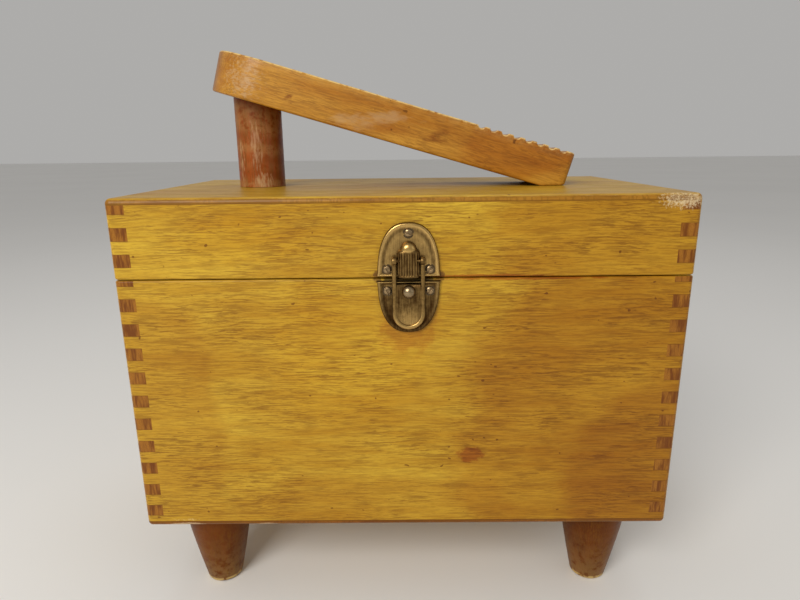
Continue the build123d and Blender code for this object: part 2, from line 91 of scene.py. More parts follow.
CASE_FIRST_FINGER, LID_FIRST_FINGER = 2.8, 4.3  # part fingers at the top of each frame, in millimetres
LONG_REACH, SHORT_REACH = 0.74, 0.42  # how squarely a face must look along the grain to show cut ends
TACK_RADIUS, TACK_RISE, TACK_EDGE = 2.0, 1.15, 0.34
FIELD = 0.72  # height of a catch plate's flat field, as a share of its rim
PLATE_HUB = 8.5  # distance of a catch plate's middle from the seam
HASP_RIM, HASP_TONGUE, TONGUE_DROP = 1.6, 1.52, 2.8  # thicknesses, and the tongue's top below the lid's rim
FLOOR_HALF, FLOOR_CELLS = 12.0, 40
SMOOTH_ANGLE, WELD = radians(42), 2e-6


def metres(value):
    """Millimetres to metres."""
    return float(value) / 1000


# ---------------------------------------------------------------- settings
def length(name, default, description):
    """A length setting, in metres."""
    return FloatProperty(name=name, description=description, default=default, unit="LENGTH", precision=4)


def colour(name, default, description):
    """A colour setting."""
    return FloatVectorProperty(
        name=name, description=description, default=default, size=3, min=0.0, max=1.0, subtype="COLOR"
    )


def amount(name, default, description):
    """A share between nothing and all."""
    limits = {"min": 0.0, "max": 1.0, "subtype": "FACTOR"}
    return FloatProperty(name=name, description=description, default=default, **limits)


class ShineBoxWood(bpy.types.PropertyGroup):
    """Colours of the varnished and the bare wood."""

    honey: colour("Honey", (0.60, 0.378, 0.032), "Lighter tone of the varnished boards")
    amber: colour("Amber", (0.43, 0.215, 0.009), "Darker tone of the varnished boards")
    pore: colour("Pores", (0.150, 0.050, 0.002), "Short dark pores along the grain")
    end_light: colour("End grain light", (0.33, 0.130, 0.012), "Lighter rings on the ends of the fingers")
    end_dark: colour("End grain dark", (0.150, 0.042, 0.003), "Darker rings on the ends of the fingers")
    rubbed: colour("Rubbed", (0.80, 0.58, 0.22), "Wood where the edges are rubbed pale")
    rest_light: colour("Footrest light", (0.57, 0.285, 0.036), "Lighter tone of the footrest")
    rest_dark: colour("Footrest dark", (0.36, 0.130, 0.010), "Darker tone of the footrest")
    red_brown: colour("Red brown", (0.35, 0.075, 0.009), "Tone of the post")
    foot_brown: colour("Foot brown", (0.150, 0.036, 0.003), "Tone of the feet")
    bare: colour("Bare wood", (0.64, 0.44, 0.215), "Unvarnished wood inside")
    gloss: amount("Varnish", 0.10, "Weight of the clear varnish over the wood")


class ShineBoxFootrest(bpy.types.PropertyGroup):
    """Sizes of the footrest and its post."""

    slope: FloatProperty(
        name="Slope", description="Fall of the board from toe to heel", default=radians(16.2), subtype="ANGLE"
    )
    length: length("Length", 0.2065, "Length of the board along its slope")
    thickness: length("Thickness", 0.022, "Thickness of the board")
    toe_radius: length("Toe radius", metres(rest_high[1]), "Radius of the round toe")
    heel_half_width: length("Heel half width", 0.022, "Half the width at the heel")
    heel_corner: length("Heel corner", 0.004, "Radius of the heel's corners")
    edge_round: length("Edge", 0.0013, "Rounding of the long edges")
    seat: length("Seat", 0.014, "Length of the flat cut under the heel")
    heel_x: length("Heel place", 0.0916, "Where the heel's end meets the lid")
    groove_count: IntProperty(name="Grooves", description="Grooves across the heel", default=8, min=0, max=20)
    groove_first: length("First groove", 0.0076, "Distance of the first groove from the heel's end")
    groove_pitch: length("Groove pitch", 0.0068, "Distance between grooves")
    groove_depth: length("Groove depth", 0.0013, "Depth of a groove")
    groove_half: length("Groove half width", 0.0020, "Half the width of a groove")


class ShineBoxFeet(bpy.types.PropertyGroup):
    """Sizes of the four turned feet."""

    top_radius: length("Top radius", metres(foot_high[0] - foot_low[0]) / 2, "Radius under the case")
    tip_radius: length("Tip radius", 0.0108, "Radius at the floor")
    tip_round: length("Tip edge", 0.0024, "Rounding of the edge at the floor")
    swell: length("Swell", 0.0004, "How far the taper swells in the middle")


class ShineBoxCatch(bpy.types.PropertyGroup):
    """Sizes and colours of the brass catch."""

    half_width: length("Half width", metres(plate_high[0] - plate_low[0]) / 2, "Half the width of the oval")
    half_height: length("Half height", 0.0269, "Half the height of the oval")
    prong: length("Prong", 0.0022, "Width of the hasp's prongs")
    rib_pitch: length("Rib pitch", 0.00125, "Distance between the hood's ribs")
    bright: colour("Bright brass", (0.58, 0.37, 0.125), "Brass where it is rubbed")
    dark: colour("Patina", (0.050, 0.022, 0.006), "Brass where it has gone dark")
    steel: colour("Steel", (0.36, 0.25, 0.13), "Tacks and screws")


class ShineBoxStage(bpy.types.PropertyGroup):
    """Floor, lights and camera."""

    floor: colour("Floor", (0.82, 0.81, 0.79), "Colour of the floor")
    key: FloatProperty(name="Key light", description="Power of the front light", default=11.5, unit="POWER")
    fill: FloatProperty(name="Fill light", description="Power of the side light", default=1.2, unit="POWER")
    sky: FloatProperty(name="Surround", description="Brightness of the surround", default=0.42, min=0.0)
    lens: FloatProperty(name="Lens", description="Focal length in millimetres", default=26.0, min=1.0)
    place: FloatVectorProperty(
        name="Camera", description="Its place", default=(0.0, -0.3526, 0.2477), subtype="TRANSLATION"
    )
    tilt: FloatProperty(name="Tilt", description="Downward tilt", default=radians(14.794), subtype="ANGLE")
    turn: FloatProperty(name="Turn", description="To the right", default=radians(-0.365), subtype="ANGLE")
    roll: FloatProperty(name="Roll", description="Camera's roll", default=radians(-0.607), subtype="ANGLE")


GROUPS = {
    "shine_wood": ShineBoxWood,
    "shine_rest": ShineBoxFootrest,
    "shine_feet": ShineBoxFeet,
    "shine_catch": ShineBoxCatch,
    "shine_stage": ShineBoxStage,
}


# ---------------------------------------------------------------- shader nodes
class Wiring:
    """Adds nodes to one shader tree. Every method gives back an output that the next one can take."""

    def __init__(self, tree):
        self.tree = tree

    def add(self, kind, inputs=None, **settings):
        """One node with its settings, and its inputs set or linked."""
        made = self.tree.nodes.new(kind)
        for key, value in settings.items():
            setattr(made, key, value)
        for key, value in (inputs or {}).items():
            if isinstance(value, bpy.types.NodeSocket):
                self.tree.links.new(value, made.inputs[key])
            else:
                made.inputs[key].default_value = value
        return made

    def math(self, operation, first, second=0.0, third=0.0):
        """A number from up to three numbers."""
        return self.add("ShaderNodeMath", {0: first, 1: second, 2: third}, operation=operation).outputs[0]

    def plus(self, first, second):
        """The sum of two numbers."""
        return self.math("ADD", first, second)

    def minus(self, first, second):
        """The first number less the second."""
        return self.math("SUBTRACT", first, second)

    def times(self, first, second):
        """The product of two numbers."""
        return self.math("MULTIPLY", first, second)

    def vector(self, operation, first, second=(0.0, 0.0, 0.0)):
        """A vector from two vectors."""
        return self.add("ShaderNodeVectorMath", {0: first, 1: second}, operation=operation).outputs[0]

    def noise(self, vector, stretch, detail=2.0, rough=0.5):
        """Smooth noise from 0 to 1, with its own number of waves per metre along each axis."""
        scaled = self.vector("MULTIPLY", vector, stretch)
        inputs = {"Vector": scaled, "Scale": 1.0, "Detail": detail, "Roughness": rough}
        return self.add("ShaderNodeTexNoise", inputs).outputs["Fac"]

    def cloud(self, vector, fineness, scale=1.0, detail=5.0, rough=0.6):
        """Smooth noise whose fineness is itself a value of the tree."""
        given = {0: vector, "Scale": fineness}
        scaled = self.add("ShaderNodeVectorMath", given, operation="SCALE").outputs[0]
        inputs = {"Vector": scaled, "Scale": scale, "Detail": detail, "Roughness": rough}
        return self.add("ShaderNodeTexNoise", inputs).outputs["Fac"]

    def ramp(self, value, low, high, start=0.0, end=1.0):
        """A smooth step from start to end as the value goes from low to high."""
        inputs = {"Value": value, "From Min": low, "From Max": high, "To Min": start, "To Max": end}
        return self.add("ShaderNodeMapRange", inputs, interpolation_type="SMOOTHSTEP").outputs["Result"]

    def mix(self, factor, first, second, blend="MIX"):
        """A colour between two colours."""
        made = self.add("ShaderNodeMix", {0: factor, 6: first, 7: second}, data_type="RGBA", blend_type=blend)
        return made.outputs[2]

    def split(self, vector):
        """The three parts of a vector."""
        return self.add("ShaderNodeSeparateXYZ", {0: vector}).outputs

    def turned(self, turn, shift=(0.0, 0.0, 0.0)):
        """Object coordinates, turned so that the grain runs along X."""
        place = self.add("ShaderNodeTexCoord").outputs["Object"]
        inputs = {"Vector": place, "Rotation": turn, "Location": shift}
        return self.add("ShaderNodeMapping", inputs).outputs["Vector"]

    def place(self):
        """Plain Object coordinates."""
        return self.add("ShaderNodeTexCoord").outputs["Object"]

    def group(self, name, inputs):
        """One of the shared effects, with its own values."""
        return self.add("ShaderNodeGroup", inputs, node_tree=bpy.data.node_groups[name]).outputs


def rgba(value):
    """A colour with its alpha."""
    return (value[0], value[1], value[2], 1.0)


def new_group(name, inputs, outputs):
    """An empty shared effect. It gives back the wiring, its inputs and a function that links an output."""
    tree = bpy.data.node_groups.new(name, "ShaderNodeTree")
    kinds = {"value": "NodeSocketFloat", "vector": "NodeSocketVector", "colour": "NodeSocketColor"}
    for label, kind, default in inputs:
        socket = tree.interface.new_socket(label, in_out="INPUT", socket_type=kinds[kind])
        socket.default_value = default
    for label, kind in outputs:
        tree.interface.new_socket(label, in_out="OUTPUT", socket_type=kinds[kind])
    wires = Wiring(tree)
    entry = tree.nodes.new("NodeGroupInput")
    exit_node = tree.nodes.new("NodeGroupOutput")

    def send(label, socket):
        tree.links.new(socket, exit_node.inputs[label])

    return wires, entry.outputs, send


GREY = (0.5, 0.5, 0.5, 1.0)
# near-black tint: grime round the catch, and painted shade in the catch's recess and round its knob
GRIME_AND_SHADE = (0.020, 0.010, 0.004, 1.0)
# painted shadow on the wood beside the catch plates' flared corners at the seam
FLARE_SHADOW = (0.075, 0.018, 0.006, 1.0)
# reddish-brown tint: a stain spot, stain with painted shadow round the catch, and painted shade along the
# lid-case seam
STAIN_AND_SHADE = (0.70, 0.40, 0.28, 1.0)
# painted shade: large soft darkening where the lamps fall off
PAINTED_SHADE = (0.80, 0.66, 0.45, 1.0)
# painted light: soft brightening where the front lamp falls
PAINTED_LIGHT = (0.55, 0.50, 0.30, 1.0)
CHIPPED = (0.66, 0.56, 0.40, 1.0)
ZERO = (0.0, 0.0, 0.0)
ONES = (1.0, 1.0, 1.0)
ALONG_Y = (0.0, 0.0, -pi / 2)
ALONG_Z = (0.0, pi / 2, 0.0)
NICKEL = (0.30, 0.28, 0.24)
BRASS_FINENESS = 420.0
SLOT_TURNS = (0.5, 2.3, 1.2)
VARNISH = {"Coat_Roughness": 0.25, "Specular_IOR_Level": 0.18}


def make_long_grain():
    """Grain that runs along X: broad tone, soft streaks, fine short pores and rare dark flecks."""
    inputs = (
        ("Vector", "vector", ZERO),
        ("Light", "colour", GREY),
        ("Dark", "colour", GREY),
        ("Pore", "colour", GREY),
        ("Streaks", "value", 0.5),
        ("Pores", "value", 0.5),
    )
    outputs = (("Color", "colour"), ("Height", "value"), ("Rough", "value"))
    w, given, send = new_group("long_grain", inputs, outputs)
    vector = given["Vector"]
    bend = w.noise(vector, (18.0, 45.0, 45.0), 2.0)
    sway = w.times(w.minus(bend, 0.5), 0.0045)
    bent = w.vector("ADD", vector, w.add("ShaderNodeCombineXYZ", {1: sway, 2: sway}).outputs[0])
    broad = w.ramp(w.noise(vector, (9.0, 22.0, 22.0), 3.0, 0.6), 0.34, 0.66)
    figure = w.ramp(w.noise(bent, (22.0, 170.0, 170.0), 4.0, 0.65), 0.35, 0.66)
    streak = w.ramp(w.noise(bent, (75.0, 1450.0, 1450.0), 3.0, 0.6), 0.44, 0.62)
    dashes = w.ramp(w.noise(bent, (105.0, 1250.0, 1250.0), 3.0, 0.65), 0.53, 0.64)
    fine = w.ramp(w.noise(bent, (300.0, 3200.0, 3200.0), 2.0, 0.6), 0.52, 0.70)
    cluster = w.ramp(w.noise(vector, (30.0, 70.0, 70.0), 3.0, 0.6), 0.36, 0.64)
    fleck = w.ramp(w.noise(vector, (240.0, 330.0, 330.0), 1.0), 0.755, 0.79)
    tone = w.plus(w.times(broad, 0.6), w.times(figure, 0.4))
    base = w.mix(tone, given["Dark"], given["Light"])
    uneven = w.math("MULTIPLY_ADD", cluster, 0.45, 0.55)
    lines = w.times(w.times(streak, uneven), 0.72)
    dash = w.times(dashes, w.math("MULTIPLY_ADD", cluster, 0.55, 0.35))
    soft = w.times(w.math("MAXIMUM", lines, dash), given["Streaks"])
    lined = w.mix(soft, base, given["Pore"])
    dots = w.times(w.times(fine, given["Pores"]), uneven)
    pored = w.mix(w.times(dots, 0.5), lined, given["Pore"])
    send("Color", w.mix(w.times(fleck, 0.85), pored, given["Pore"]))
    send("Height", w.minus(1.0, w.plus(w.times(dots, 0.7), w.times(soft, 0.3))))
    send("Rough", w.plus(w.times(soft, 0.10), w.times(cluster, 0.06)))


def make_end_grain():
    """Cut ends with the fibre along X: rings as stripes across Y that waver with Z, and fine dots."""
    inputs = (("Vector", "vector", ZERO), ("Light", "colour", GREY), ("Dark", "colour", GREY))
    w, given, send = new_group("end_grain", inputs, (("Color", "colour"), ("Height", "value")))
    rings = w.ramp(w.noise(given["Vector"], (25.0, 520.0, 70.0), 3.0, 0.6), 0.36, 0.64)
    dots = w.ramp(w.noise(given["Vector"], (60.0, 2600.0, 2600.0), 1.0), 0.45, 0.7)
    dark = w.math("MAXIMUM", rings, w.times(dots, 0.55))
    send("Color", w.mix(dark, given["Light"], given["Dark"]))
    send("Height", w.minus(1.0, w.times(dots, 0.8)))


def make_edge_rub():
    """Edges of a box rubbed pale: near two faces at once, with the border broken up by noise."""
    inputs = (
        ("Vector", "vector", ZERO),
        ("Middle", "vector", ZERO),
        ("Half", "vector", ONES),
        ("Width", "value", 0.002),
        ("Breakup", "value", 0.001),
    )
    w, given, send = new_group("edge_rub", inputs, (("Mask", "value"),))
    away = w.vector("ABSOLUTE", w.vector("SUBTRACT", given["Vector"], given["Middle"]))
    x, y, z = w.split(w.vector("SUBTRACT", given["Half"], away))
    near = w.math("MINIMUM", w.math("MAXIMUM", x, y), w.math("MAXIMUM", x, z))
    near = w.math("MINIMUM", near, w.math("MAXIMUM", y, z))
    rough = w.noise(given["Vector"], (300.0, 300.0, 300.0), 4.0, 0.65)
    moved = w.math("MULTIPLY_ADD", w.minus(rough, 0.45), given["Breakup"], near)
    inner = w.times(given["Width"], 0.25)
    send("Mask", w.ramp(moved, given["Width"], inner))


def make_wear_and_shade_patch():
    """A blot inside an ellipsoid, densest in the middle and ragged at its border."""
    inputs = (
        ("Vector", "vector", ZERO),
        ("Middle", "vector", ZERO),
        ("Radius", "vector", (0.01, 0.01, 0.01)),
        ("Fineness", "value", 300.0),
        ("Cover", "value", 0.5),
        ("Stretch", "vector", ONES),
    )
    w, given, send = new_group("wear_and_shade_patch", inputs, (("Mask", "value"),))
    offset = w.vector("DIVIDE", w.vector("SUBTRACT", given["Vector"], given["Middle"]), given["Radius"])
    reach = w.add("ShaderNodeVectorMath", {0: offset}, operation="LENGTH").outputs["Value"]
    dense = w.ramp(reach, 1.0, 0.15)
    drawn = w.vector("MULTIPLY", given["Vector"], given["Stretch"])
    ragged = w.cloud(drawn, given["Fineness"], rough=0.62)
    level = w.plus(w.times(dense, given["Cover"]), ragged)
    send("Mask", w.times(w.ramp(level, 0.72, 1.0), w.ramp(dense, 0.0, 0.3)))


def make_glue_line():
    """Thin dark lines between the fingers of a corner joint, one finger apart up the corner."""
    inputs = (
        ("Vector", "vector", ZERO),
        ("Start", "value", 0.0),
        ("Finger", "value", 0.00635),
        ("Inner X", "value", 0.132),
        ("Inner Y", "value", 0.073),
    )
    w, given, send = new_group("glue_line", inputs, (("Mask", "value"),))
    x, y, z = w.split(w.vector("ABSOLUTE", given["Vector"]))
    steps = w.math("DIVIDE", w.minus(z, given["Start"]), given["Finger"])
    apart = w.math("ABSOLUTE", w.minus(w.math("FRACT", w.plus(steps, 0.5)), 0.5))
    line = w.ramp(apart, 0.045, 0.012)
    column = w.times(w.math("GREATER_THAN", x, given["Inner X"]), w.math("GREATER_THAN", y, given["Inner Y"]))
    send("Mask", w.times(line, column))


def make_patina():
    """Old brass: dark in the hollows, cloudy between, bright and smoother where it is rubbed, lighter where a
    painted highlight is given and darker where painted shade is given.
    """
    inputs = (
        ("Vector", "vector", ZERO),
        ("Bright", "colour", GREY),
        ("Dark", "colour", GREY),
        ("Rub_and_shading", "value", 0.5),
        ("Fineness", "value", 400.0),
    )
    outputs = (("Color", "colour"), ("Rough", "value"), ("Height", "value"))
    w, given, send = new_group("patina", inputs, outputs)
    cloud = w.cloud(given["Vector"], given["Fineness"])
    speck = w.cloud(given["Vector"], given["Fineness"], 6.0, 2.0, 0.5)
    brushed = w.noise(given["Vector"], (2600.0, 900.0, 130.0), 2.0, 0.6)
    uneven = w.plus(w.minus(cloud, 0.5), w.minus(brushed, 0.5))
    level = w.math("MULTIPLY_ADD", uneven, 0.55, given["Rub_and_shading"])
    shine = w.ramp(level, 0.0, 1.0)
    pits = w.ramp(speck, 0.60, 0.72)
    send("Color", w.mix(w.times(pits, 0.5), w.mix(shine, given["Dark"], given["Bright"]), given["Dark"]))
    send("Rough", w.minus(w.math("MULTIPLY_ADD", pits, 0.15, 0.46), w.times(shine, 0.2)))
    send("Height", w.math("MULTIPLY_ADD", pits, -0.6, w.times(cloud, 0.4)))


def new_material(name, **constants):
    """A material with its Principled shader; plain numbers go straight onto the shader's own sockets."""
    made = bpy.data.materials.new(name)
    made.use_nodes = True
    wires = Wiring(made.node_tree)
    shader = made.node_tree.nodes["Principled BSDF"]
    for key, value in constants.items():
        shader.inputs[key.replace("_", " ")].default_value = value
    return made, wires, shader


def connect(wires, shader, colour_out, rough_out, height_out=None, strength=0.3, distance=0.0003):
    """Colour, roughness and a bump into the shader."""
    link = wires.tree.links.new
    link(colour_out, shader.inputs["Base Color"])
    link(rough_out, shader.inputs["Roughness"])
    if height_out is not None:
        bump = wires.add("ShaderNodeBump", {"Height": height_out, "Strength": strength, "Distance": distance})
        link(bump.outputs["Normal"], shader.inputs["Normal"])


def mm3(x, y, z):
    """A place given in millimetres."""
    return (x / 1000, y / 1000, z / 1000)


def shade_patches(w, base, patches, stretch=ONES):
    """Lays patches over a colour: each is middle, radius, fineness, cover, colour, strength and blend."""
    for middle, radius, fineness, cover, tint, strength, blend in patches:
        inputs = {"Vector": w.place(), "Middle": mm3(*middle), "Radius": mm3(*radius)}
        inputs.update({"Fineness": fineness, "Cover": cover, "Stretch": stretch})
        mask = w.group("wear_and_shade_patch", inputs)["Mask"]
        base = w.mix(w.times(mask, strength), base, tint, blend)
    return base


def grain_faces(w, wood, vector, light, dark, streaks, pores):
    """Long grain between two tones, with the wood's pores."""
    inputs = {"Vector": vector, "Light": rgba(light), "Dark": rgba(dark), "Pore": rgba(wood.pore)}
    inputs.update({"Streaks": streaks, "Pores": pores})
    return w.group("long_grain", inputs)


def grain_ends(w, vector, light, dark):
    """End grain between two tones."""
    return w.group("end_grain", {"Vector": vector, "Light": rgba(light), "Dark": rgba(dark)})["Color"]


def facing(w, axis, turn=(0.0, 0.0, 0.0)):
    """How squarely a face looks along an axis of the turned wood, from 0 to 1."""
    normal = w.add("ShaderNodeTexCoord").outputs["Normal"]
    turned = w.add("ShaderNodeMapping", {"Vector": normal, "Rotation": turn}, vector_type="VECTOR").outputs[0]
    return w.math("ABSOLUTE", w.split(turned)[axis])


def rub_edges(w, wood, base, middle, half, width, breakup, strength):
    """Rubs the edges of a box pale, and gives back the colour and where it is rubbed."""
    inputs = {"Vector": w.place(), "Middle": mm3(*middle), "Half": mm3(*half)}
    inputs.update({"Width": width, "Breakup": breakup})
    worn = w.group("edge_rub", inputs)["Mask"]
    return w.mix(w.times(worn, strength), base, rgba(wood.rubbed)), worn


def wood_rough(w, faces, level, worn, extra):
    """Roughness of the grain over an even level, and more where it is worn."""
    return w.plus(w.plus(faces["Rough"], level), w.times(worn, extra))


def board_material(name, wood, turn, shift, middle, half, start, reach, patches=()):
    """Varnished board: grain on its faces, end grain on its ends, glue lines and rubbed edges."""
    made, w, shader = new_material(name, Coat_Weight=wood.gloss, **VARNISH)
    vector = w.turned(turn, shift)
    faces = grain_faces(w, wood, vector, wood.honey, wood.amber, 0.75, 0.65)
    ends = grain_ends(w, vector, wood.end_light, wood.end_dark)
    base = w.mix(w.ramp(facing(w, 0, turn), reach, reach + 0.16), faces["Color"], ends)
    glue = {"Vector": w.place(), "Start": start / 1000, "Inner X": metres(half_x - board)}
    glue["Inner Y"] = metres(half_y - board)
    lines = w.group("glue_line", glue)["Mask"]
    base = w.mix(w.times(lines, 0.6), base, rgba(wood.pore))
    base = shade_patches(w, base, patches)
    base, worn = rub_edges(w, wood, base, middle, half, 0.0014, 0.0020, 0.55)
    height = w.times(faces["Height"], w.minus(1.0, w.times(lines, 0.8)))
    connect(w, shader, base, wood_rough(w, faces, 0.36, worn, 0.12), height, 0.22, 0.0002)
    return made


def panel_material(name, wood, low, high, outer, patches=()):
    """Thin plywood: face veneers with grain along X, and an edge with a dark core, ticks and a dark seam."""
    made, w, shader = new_material(name, Coat_Weight=wood.gloss, **VARNISH)
    inner = low + high - outer
    place = w.place()
    z = w.split(place)[2]
    faces = grain_faces(w, wood, w.turned(ZERO, (0.37, 0.21, 0.4)), wood.honey, wood.amber, 0.6, 0.5)
    core = grain_ends(w, w.turned(ZERO, (0.1, 0.1, 0.0)), wood.end_light, wood.end_dark)
    ticks = w.ramp(w.noise(place, (900.0, 900.0, 60.0), 2.0, 0.6), 0.46, 0.60)
    core = w.mix(w.times(ticks, 0.75), core, rgba(wood.pore))
    depth = w.math("MINIMUM", w.minus(z, low / 1000), w.minus(high / 1000, z))
    on_edge = w.ramp(facing(w, 2), 0.85, 0.6)
    in_core = w.times(w.ramp(depth, 0.0003, 0.0006), on_edge)
    base = w.mix(w.times(in_core, 0.75), faces["Color"], core)
    joint = w.math("ABSOLUTE", w.minus(z, inner / 1000))
    seam = w.times(w.ramp(joint, 0.0009, 0.0003), on_edge)
    base = w.mix(w.times(seam, 0.8), base, rgba(wood.pore))
    base = shade_patches(w, base, patches)
    base, worn = rub_edges(w, wood, base, (0, 0, inner), (half_x, half_y, high - low), 0.0010, 0.0008, 0.7)
    connect(w, shader, base, wood_rough(w, faces, 0.36, worn, 0.1), faces["Height"], 0.2, 0.0002)
    return made


def solid_wood(name, wood, light, dark, turn, shift, streaks, gloss, patches=(), stretch=ONES):
    """One turned or shaped piece of wood with its grain along the turned X, blotched and worn."""
    coat = {"Coat_Weight": gloss, "Coat_Roughness": 0.2, "Specular_IOR_Level": 1.2 * gloss}
    made, w, shader = new_material(name, **coat)
    vector = w.turned(turn, shift)
    faces = grain_faces(w, wood, vector, light, dark, streaks, 0.6)
    ends = grain_ends(w, vector, dark, wood.pore)
    base = w.mix(w.ramp(facing(w, 0, turn), 0.75, 0.9, 0.0, 0.7), faces["Color"], ends)
    base = shade_patches(w, base, patches, stretch)
    rub_and_shading = w.add("ShaderNodeAttribute", attribute_name="rub_and_shading").outputs["Fac"]
    broken = w.times(rub_and_shading, w.ramp(w.noise(w.place(), (260.0, 260.0, 260.0), 4.0, 0.65), 0.34, 0.56))
    base = w.mix(w.times(broken, 0.75), base, rgba(wood.rubbed))
    connect(w, shader, base, wood_rough(w, faces, 0.30, broken, 0.2), faces["Height"], 0.25, 0.0002)
    return made


def brass_material(name, bright, dark, rub_and_shading, fineness, patches=()):
    """Brass with patina; the piece's own point attribute of wear, painted highlights and painted shade adds
    to the even wear.
    """
    made, w, shader = new_material(name, Metallic=1.0)
    worn = w.add("ShaderNodeAttribute", attribute_name="rub_and_shading").outputs["Fac"]
    inputs = {"Vector": w.place(), "Bright": rgba(bright), "Dark": rgba(dark), "Fineness": fineness}
    inputs["Rub_and_shading"] = w.plus(worn, rub_and_shading)
    out = w.group("patina", inputs)
    base = shade_patches(w, out["Color"], patches)
    connect(w, shader, base, out["Rough"], out["Height"], 0.12, 0.0002)
    return made


# ---------------------------------------------------------------- meshes
def shell(grid, rub_and_shading=0.0, cap_start=True, cap_end=True):
    """A closed skin over rings of points.

    The grid is rings by points by three, in millimetres. Each ring closes on itself, each pair of rings is
    joined by four-sided faces, and each end is closed by a fan to the middle of its ring.
    """
    rings, count = grid.shape[:2]
    points = grid.reshape(-1, 3)
    worn = np.broadcast_to(np.asarray(rub_and_shading, float), (rings, count)).reshape(-1)
    row = np.arange(rings - 1)[:, None] * count
    column = np.arange(count)[None, :]
    after = (column + 1) % count
    corners = [row + column, row + after, row + count + after, row + count + column]
    quads = np.stack(corners, -1).reshape(-1, 4)
    fans = []
    for wanted, ring in ((cap_start, 0), (cap_end, rings - 1)):
        if wanted:
            hub = len(points)
            points = np.vstack([points, grid[ring].mean(0)])
            worn = np.append(worn, worn[ring * count : (ring + 1) * count].mean())
            edge = ring * count + np.arange(count)
            fans.append(np.stack([np.full(count, hub), edge, np.roll(edge, -1)], -1))
    triangles = np.vstack(fans) if fans else np.empty((0, 3), int)
    return points, worn, quads, triangles


def piece(name, shells, material, body, nodes):
    """Joins shells into one object that rides on a body and stands for its nodes.

    Points that fall together are merged, and the faces are turned outwards afterwards.
    """
    faces = []
    start = 0
    for points, _, quads, triangles in shells:
        faces += (quads + start).tolist() + (triangles + start).tolist()
        start += len(points)
    mesh = bpy.data.meshes.new(name)
    mesh.from_pydata((np.vstack([s[0] for s in shells]) / 1000).tolist(), [], faces)
    worn = mesh.attributes.new("rub_and_shading", "FLOAT", "POINT")
    worn.data.foreach_set("value", np.concatenate([s[1] for s in shells]).astype(np.float32))
    work = bmesh.new()
    work.from_mesh(mesh)
    bmesh.ops.remove_doubles(work, verts=work.verts, dist=WELD)
    bmesh.ops.recalc_face_normals(work, faces=work.faces)
    work.to_mesh(mesh)
    work.free()
    mesh.shade_smooth()
    mesh.set_sharp_from_angle(angle=SMOOTH_ANGLE)
    mesh.materials.append(material)
    made = bpy.data.objects.new(name, mesh)
    bpy.context.scene.collection.objects.link(made)
    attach(made, body)
    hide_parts(*nodes)


def turned_shell(profile, middle, axis, count=72, rub_and_shading=None, cut=None):
    """A turned shape: a profile of distance along the axis and radius, carried round the axis.

    A point is middle + along * axis + radius * (cos(angle) * first + sin(angle) * second), where first and
    second are the two directions across the axis.
    """
    profile = np.asarray(profile, float)
    angle = np.linspace(0, 2 * pi, count, endpoint=False)
    axis = np.asarray(axis, float)
    first = np.roll(axis, 1)
    second = np.cross(axis, first)
    ring = np.cos(angle)[:, None] * first + np.sin(angle)[:, None] * second
    up, out = profile.T[:, :, None, None]
    grid = np.asarray(middle, float) + up * axis + out * ring[None]
    if cut is not None:
        grid = cut(grid)
    worn = 0.0 if rub_and_shading is None else np.asarray(rub_and_shading, float)[:, None] * np.ones(count)
    return shell(grid, worn)


def smooth_step(low, high, value):
    """0 below low, 1 above high, and 3t^2 - 2t^3 between."""
    t = np.clip((value - low) / (high - low), 0, 1)
    return t * t * (3 - 2 * t)


def ripple(value, seed):
    """A gentle waver: three sines of unlike wavelengths added together."""
    slow, fast = np.sin(value * 0.73 + 2.1 * seed), np.sin(value * 3.1 + 0.7 * seed)
    return (np.sin(value * 1.7 + seed) + slow + fast) / 3


def foot_shell(node, feet):
    """A foot: flat tip, quarter-round edge, then a taper that swells by swell * sin(pi * t)."""
    low, high = corners(node)
    tip, top, edge = feet.tip_radius * 1000, feet.top_radius * 1000, feet.tip_round * 1000
    height = high[2] - low[2]
    corner = np.linspace(0, pi / 2, 9)
    base = tip - edge * 0.25
    round_edge = np.stack([edge * (1 - np.cos(corner)), base - edge + edge * np.sin(corner)], -1)
    t = np.linspace(0, 1, 60)[1:]
    start_z, start_r = round_edge[-1]
    taper = np.stack([start_z + t * (height - start_z), start_r + t * (top - start_r)], -1)
    taper[:, 1] += feet.swell * 1000 * np.sin(pi * t) + 0.05 * ripple(taper[:, 0], 1.0)
    start, end = [(0, 0), (0, base - edge - 0.5)], [(height, top - 1), (height, 0)]
    profile = np.vstack([start, round_edge, taper, end])
    rub_and_shading = np.concatenate([[0.1, 0.5], np.full(9, 0.8), 0.18 * (1 - t) ** 2, [0, 0]])
    middle = ((low[0] + high[0]) / 2, (low[1] + high[1]) / 2, low[2])
    return turned_shell(profile, middle, (0, 0, 1), 96, rub_and_shading)


def rest_frame(rest):
    """Corner and directions of the footrest's own frame: up the slope, across and through its thickness."""
    slope = rest.slope
    sunk = rest.seat * 1000 * sin(slope)
    origin = np.array([rest.heel_x * 1000 - sunk * sin(slope), 0, top_high[2] - sunk * cos(slope)])
    return origin, np.array([-cos(slope), 0, sin(slope)]), np.array([sin(slope), 0, cos(slope)]), sunk


